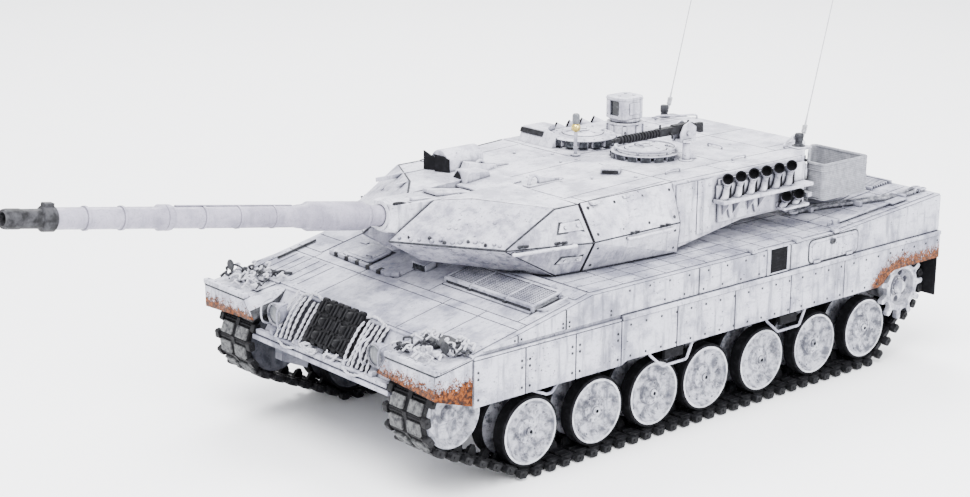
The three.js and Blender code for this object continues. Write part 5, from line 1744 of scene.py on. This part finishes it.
def add_small_roof_fittings(parts):
    """Bolts at seeded places clear of the rings, grab handles and two low plates at the back."""
    rng = random.Random(5)
    rings = (COMMANDER, LOADER, centre("panoramic_sight")[:2])
    ring_clearance = 26
    for _ in range(26):
        x, y = rng.uniform(-76, 76), rng.uniform(-78, 96)
        if all(math.hypot(x - a, y - b) > ring_clearance for a, b in rings):
            parts["white"].append(bolt(rng.uniform(0.7, 1.1), 0.7).at(x, y, ROOF_Z + 0.3))
    grab = tube(curve([(0, -6, 0), (0, -6, 2.4), (0, 0, 2.8), (0, 6, 2.4), (0, 6, 0)], 4), 0.6)
    for x, y, turn in ((64, -2, 0), (64, 60, 0), (-64, 20, 0), (30, 74, 90), (-20, 90, 90)):
        parts["white"].append(grab.turned("Z", turn).at(x, y, ROOF_Z))
    parts["white"] += [brick(x - 6, x + 6, 114, 128, 152, 153.8, 0.5) for x in (-63, 63)]


def build_roof_fittings():
    parts = {"white": [], "dark": [], "glass": [], "shutters": []}
    for add in (add_gunner_sight, add_roof_boxes, add_beacon, add_sight_base, add_small_roof_fittings):
        add(parts)
    piece("roof_fittings", together(parts["white"]), "turret", "turret")
    piece("gunner_sight_shutters", together(parts["shutters"]), "turret", "flap")
    piece("roof_dark_fittings", together(parts["dark"]), "turret", "dark")
    piece("gunner_sight_glass", together(parts["glass"]), "turret", "optic")


def build_panoramic_sight():
    node = "panoramic_sight"
    x, y, _ = centre(node)
    low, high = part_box(node)
    foot, top = low.z / MM, high.z / MM - 1.4
    neck = lathe([(0, foot), (10.2, foot), (10.5, foot + 0.5), (10.5, foot + 2), (9, foot + 2.6),
                  (0, foot + 2.6)], 48)
    plan = [(-9.4, -9.4), (-5, -11.6), (5, -11.6), (9.4, -9.4), (10, 7), (6, 10.6), (-6, 10.6), (-10, 7)]
    window = block(-3.4, 5.4, -14, -9.6, foot + 4.6, top - 2.6)
    head = carved(bevelled(prism(plan, foot + 2, top, "z"), 1.0, 3), window)
    brow = bevelled(prism([(a * 1.03, b * 1.03) for a, b in plan], top - 2.2, top - 1.2, "z"), 0.3)
    cheeks = [brick(x0, x0 + 1.4, -5.5, 4.5, foot + 5.5, top - 4, 0.4) for x0 in (9, -10.4)]
    knobs = together([rod(1.1, top - 0.3, top + 0.4, 16).at(a, b) for a, b in ((-4, 4), (4, 4), (0, -6))])
    studs = together([bolt(0.5, 0.5).turned("X", 90).at(a, -11.2, b) for a in (-6.3, 5.2)
                      for b in (foot + 5, top - 2.6)])
    whole = together([neck, head, brow, *cheeks, knobs, studs])
    piece("panoramic_sight_head", whole.at(x, y + SIGHT_SHIFT), node, "turret", [node])
    pane = brick(-3.6, 5.6, -10.2, -9.4, foot + 4.4, top - 2.4, 0.1)
    piece("panoramic_sight_glass", pane.at(x, y + SIGHT_SHIFT), node, "optic")


def raised(solid):
    """Places a piece drawn level, pointing along -Y from the trunnion, at the gun's elevation."""
    return solid.turned("X", -GUN_RISE).at(*TRUNNION)


def build_mantlet():
    front, half, sleeve_r = 82, 11.6, 6.7
    body = convex([(s * half, -front + 6, z) for s in (-1, 1) for z in (9, -9)]
                  + [(s * 8.4, -front, z) for s in (-1, 1) for z in (8.4, -8.4)]
                  + [(s * half, y, z) for s in (-1, 1) for y in (-30, -4) for z in (14.5, -13.5)])
    rotor = rod(15.8, -half, half, 64, "x", 0.6)
    collar = lathe([(sleeve_r, 74), (10.4, 74), (10.4, 77), (9.8, 77.6), (9.8, 79.4), (9, 80), (9, 82.6),
                    (sleeve_r, 82.9)], 64, "y", ring=True)
    channel = rod(sleeve_r, -40, front + 10, 48, "y")
    caps = together([bolt(0.9, 0.7).at(s * 8.6, y, z) for s in (-1, 1)
                     for y, z in ((-12, 14.4), (-22, 14.4), (-30, 14.2))])
    cover = brick(-7, 7, -46, -16, 13.2, 15.6, 0.6) + brick(5.4, 8.8, -66, -40, 8.6, 12.4, 0.8)
    whole = together([carved(bevelled(body, 0.9, 3), channel), carved(rotor, channel), collar, caps, cover])
    piece("mantlet_body", raised(whole), "mantlet", "turret", ["mantlet"])
    hook = tube(curve([(9.6, -70, 8.6), (10.4, -76, 9.6), (9.4, -80, 9), (8, -79, 7.6)], 4), 0.9)
    dark = together([hook, brick(8, 11.2, -70, -60, 7.2, 10, 0.4),
                     rod(1.5, 76, 77.6, 20, "y").at(8.6, 0, -4)])
    piece("mantlet_dark_fittings", raised(dark), "mantlet", "dark")


def build_gun():
    build_mantlet()
    profile = [(0, 6), (6.2, 6), (6.2, 91.2), (6.9, 91.5), (7.1, 92.2), (6.7, 93), (7.3, 93.6), (8.2, 95.4),
               (7.9, 96.2), (8.7, 98), (8.7, 104), (8.5, 104.4), (8.7, 104.8), (8.7, 130), (8.5, 130.4),
               (8.7, 130.8), (8.7, 136), (7.8, 138), (7.2, 139), (6.9, 143), (6.4, 146), (6.3, 180),
               (6.1, 228), (7.1, 228.7), (7.3, 229.5), (7.3, 232.4), (7.0, 232.7), (7.3, 233), (7.3, 236),
               (6.1, 237.5), (5.9, 299.4), (0, 299.4)]
    straps = [lathe([(6.0, s), (6.75, s + 0.2), (6.75, s + 1.6), (6.0, s + 1.8)], 64, "y", ring=True)
              for s in (160, 184, 207, 258, 280)]
    seam = brick(-0.8, 0.8, -226, -148, 5.6, 6.9, 0.2)
    piece("gun_tube", raised(together([lathe(profile, 64, "y"), *straps, seam])), "gun_barrel", "gun",
          ["gun_barrel"])
    length, bore_r, bore_depth = 328, 3.7, 20
    end = [(0, 299), (6.4, 299), (7, 299.6), (7, 305.6), (6.4, 306.4), (5.3, 307), (5.2, 318), (5.5, 319),
           (5.5, 326), (5.1, length), (bore_r, length), (bore_r, length - bore_depth),
           (0, length - bore_depth)]
    sensor = brick(-2.2, 2.2, -306, -300, 6, 8.6, 0.5)
    piece("gun_muzzle", raised(lathe(end, 64, "y") + sensor), "gun_barrel", "muzzle")


def build_machine_gun():
    """The machine gun, its cradle and its post beside the loader's ring."""
    post_x, y, z = 44, 31, 174
    x = post_x - 3.5

    def gun_part(half, outline):
        return bevelled(spanned(x - half, x + half, [(y + b, z + c) for b, c in outline]), 0.5)

    grip = gun_part(1.7, ((9, 2), (9, -2.4), (17.6, 2.2), (18, -4.6), (15, -4.6)))
    stock = gun_part(1, ((6, -2), (10, -2), (8.6, -9), (11.6, -8.4)))
    parts = [brick(x - 2.6, x + 2.4, y - 24, y + 10, z - 2.6, z + 2.6, 0.5),
             brick(x - 2.2, x + 2.0, y - 10, y + 8, z + 2.2, z + 3.4, 0.4), grip,
             rod(1.9, 20, 24, 24, "y").at(x, y, z), rod(1.05, 24, 65, 24, "y").at(x, y, z),
             rod(1.5, 57, 63, 16, "y", 0.3).at(x, y, z), rod(0.8, 24, 50, 16, "y").at(x, y, z - 2.4)]
    parts += [lathe([(1.0, s), (2.7, s + 0.2), (2.7, s + 1.5), (1.0, s + 1.7)], 24, "y",
                    ring=True).at(x, y, z) for s in np.arange(25, 57, 2.6)]
    parts += [brick(x - 0.5, x + 0.5, y + b, y + b + 1.2, z + 2.4, z + 5, 0.2) for b in (-22, 4)]
    front_sight = [(x, y - 52, z + 1.6), (x, y - 52.6, z + 4.2), (x, y - 53.4, z + 4.4), (x, y - 54, z + 1.6)]
    cocking_lever = [(x + 2, y - 14, z - 1), (x + 4.6, y - 15, z - 1.5), (x + 5, y - 15, z - 4)]
    trigger_guard = [(x, y + 1, z - 2.6), (x, y + 1.4, z - 5.4), (x, y + 5, z - 5.6), (x, y + 6, z - 2.8)]
    parts += [tube(curve(front_sight, 3), 0.35), tube(curve(cocking_lever, 3), 0.7), stock,
              tube(curve(trigger_guard, 3), 0.4)]
    piece("machine_gun_body", together(parts), "machine_gun", "dark", ["machine_gun"])
    foot = 165.6
    cheek = [(y - 6, foot), (y + 8, foot), (y + 8, z + 1), (y + 2, z + 5), (y - 3, z + 3), (y - 6, z - 2)]
    cheeks = [bevelled(prism(cheek, post_x + x0, post_x + x1), 0.4) for x0, x1 in ((-7.4, -6.4), (-0.4, 1))]
    cradle = together([*cheeks, brick(post_x - 5.4, post_x + 2.4, y - 5, y + 4, foot, foot + 2, 0.5),
                       rod(1.2, -6.4, 3.2, 20, "x", 0.2).at(post_x, y, z - 2.6),
                       rod(3.4, 165.4, 166.8, 32).at(post_x, y)])
    piece("machine_gun_cradle", cradle, "machine_gun", "turret")
    post = together([rod(2.5, 152, 165, 32, soft=0.3), rod(4.6, 152.4, 154.2, 32, soft=0.4)]).at(post_x, y)
    stay = bevelled(spanned(post_x - 1, post_x + 1, [(y + b, c) for b, c in ((1, 153), (10, 153), (1, 163))]),
                    0.4)
    piece("machine_gun_post", post + stay, "turret", "turret")


def build_launchers():
    """Six tubes over a shelf and two below it on each side, each a black-mouthed cup on a bent neck."""
    side, shelf_z = 84.4, 135.3
    turn, rise, mouth_x, length = 45, 25, 94, 9
    tube_pitch = 12.2
    back = length * math.cos(math.radians(rise)) * math.sin(math.radians(turn))
    drop = length * math.sin(math.radians(rise))
    tubes, mounts = [], []
    cup = lathe([(0, -5), (3.3, -5), (3.3, -0.9), (3.6, -0.8), (3.6, -0.2), (3.4, 0), (3.0, 0), (2.9, -0.4),
                 (2.9, -4.6), (0, -4.6)], 32, "x")
    barrel = lathe([(0, -8.6), (2.9, -8.6), (3.4, -7.8), (3.4, -1.1), (3.0, -1.0), (0, -1.2)], 32, "x")
    barrel = carved(barrel, rod(3.3, -4.9, 2, 32, "x"))

    def aimed(solid, y, z):
        return solid.turned("Y", -rise).turned("Z", -turn).at(mouth_x, y, z)

    rows = [(17 + tube_pitch * i, 152.2, shelf_z + 1.6) for i in range(6)]
    rows += [(74.5 + tube_pitch * i, 132.2, 123.4) for i in range(2)]
    for y, z, foot in rows:
        tubes.append(aimed(cup, y, z))
        mounts.append(aimed(barrel, y, z))
        low, rear = z - drop, y + back
        neck = curve([(side + 4.6, rear - 4.6, foot), (side + 5.6, rear - 3.4, foot + 2.6),
                      (side + 3.6, rear - 0.6, (foot + low) / 2 + 1), (side + 5.4, rear - 1.4, low - 1)], 4)
        mounts.append(tube(neck, 2.1, 12))
        mounts.append(brick(side + 0.6, side + 2.4, rear - 7, rear - 1, foot, low - 2, 0.7))
        tubes.append(brick(side + 1.2, side + 4.4, rear + 0.4, rear + 4, foot + 0.4, low + 1, 0.5))
    shelf = brick(side, side + 9.5, 14, 101, shelf_z, shelf_z + 2.3, 0.5)
    plate = brick(side, side + 1.5, 18, 101, 122, 150, 0.4)
    braces = [bevelled(convex([(side + a, y + b, z) for b in (-0.7, 0.7)
                               for a, z in ((0.5, 135.6), (8.4, 135.6), (0.5, 124.5))]), 0.3)
              for y in (22, 32, 46, 56)]
    mounts += [bevelled(convex([(side + 1.2 + out, y + a, z) for out in (0, 2)
                                for a, z in ((-3, 134.8), (2, 134.8), (2.6, 124), (0.6, 124))]), 0.3)
               for y in (27, 51)]
    mounts += [shelf, plate, *braces, side_bolts([(y, z) for y in range(22, 70, 12) for z in (124, 133)],
                                                 side + 1.4)]
    mounts.append(brick(side, side + 8.4, 74, 99, 121.8, 123.6, 0.4))
    for name in SIDES:
        piece(f"launcher_mounts_{name}", on_side(together(mounts), name), "turret", "turret",
              [f"grenade_launchers_{name}"])
        piece(f"launcher_tubes_{name}", on_side(together(tubes), name), "turret", "flap")


def round_corners(points, radius):
    """An outline with its corners rounded."""
    made = []
    for i, here in enumerate(points):
        here, before, after = Vector(here), Vector(points[i - 1]), Vector(points[(i + 1) % len(points)])
        back, on = [(p - here).normalized() * min(radius, (p - here).length / 2) for p in (before, after)]
        made += [tuple(here + back * (1 - t) ** 2 + on * t ** 2) for t in np.linspace(0, 1, 6)]
    return made


def build_bins():
    outside = round_corners([(92, 113), (92, 160), (45, 160), (45, 153.5), (78, 113)], 3)
    inside = round_corners([(90.6, 114.4), (90.6, 158.6), (47, 158.6), (47, 154.2), (78.7, 114.4)], 2.4)
    foot, top = 122.7, 146.8
    walls = carved(bevelled(prism(outside, foot, top - 0.6, "z"), 0.3),
                   prism(inside, foot + 1.7, top + 5, "z"))
    base = bevelled(prism([(x * 1.004 + 0.2, y) for x, y in outside], foot - 0.6, foot + 1.2, "z"), 0.3)
    between = [((a + c) / 2, (b + d) / 2) for (a, b), (c, d) in zip(outside, inside)]
    rim = tube([(x, y, top - 0.8) for x, y in between], 1.15, 8, True)
    lip = tube([(x, y, top - 5) for x, y in outside], 0.4, 6, True)
    brackets = together([brick(60, 84, 108, 116, 124, 127, 0.5), brick(50, 56, 139, 154, 124, 127, 0.5)])
    for side in SIDES:
        piece(f"bin_{side}", on_side(together([walls, base, rim, lip]), side), "turret", "bin",
              [f"stowage_bin_{side}"])
        piece(f"bin_fittings_{side}", on_side(brackets, side), "turret", "turret")


def build_antennas():
    lean, whip = 15, 112
    base = lathe([(0, 0), (3.2, 0), (3.2, 1.4), (2.6, 2), (2.6, 4), (3.0, 4.4), (3.0, 8.2), (2.4, 9), (0, 9)],
                 32)
    foot = lathe([(0, -0.4), (4.6, -0.4), (4.6, 0.6), (3.8, 1), (0, 1)], 32)
    coil = tube([(1.5 * math.cos(a), 1.5 * math.sin(a), 9 + a * 0.14) for a in np.arange(0, 40, 0.4)], 0.35,
                6)
    rodding = lathe([(0, 6), (1.1, 6), (0.7, 15), (0.4, 22), (0.3, whip), (0, whip)], 12)
    tip = lathe([(0, whip - 1), (0.6, whip - 0.8), (0.6, whip), (0, whip + 0.2)], 12)
    tall = together([coil, rodding, tip]).turned("X", -lean).at(y=2)
    for side in SIDES:
        x, z = centre(f"antenna_{side}")[0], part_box(f"antenna_{side}")[0].z / MM
        y = (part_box(f"antenna_{side}")[0].y - MID_Y) / MM + 3.2
        piece(f"antenna_base_{side}", (base + foot).at(x, y, z), "turret", "arm")
        piece(f"antenna_whip_{side}", tall.at(x, y, z), "turret", "whip", [f"antenna_{side}"])


def build_turret():
    build_turret_armour()
    build_turret_rails()
    build_cupolas()
    build_hatch("commander_hatch", *COMMANDER)
    build_hatch("loader_hatch", *LOADER)
    build_roof_fittings()
    build_panoramic_sight()
    build_gun()
    build_machine_gun()
    build_launchers()
    build_bins()
    build_antennas()


# ---- The tank --------------------------------------------------------------------------------------------

add_camera(place=in_frame(864.6, -846.3, 424.7), azimuth=49.33, elevation=15.53, roll=0.33, lens=69.6)
add_studio()
build_tracks()
build_wheels()
build_sprockets()
build_idlers()
build_arms()
build_return_rollers()
build_hull()
build_turret()
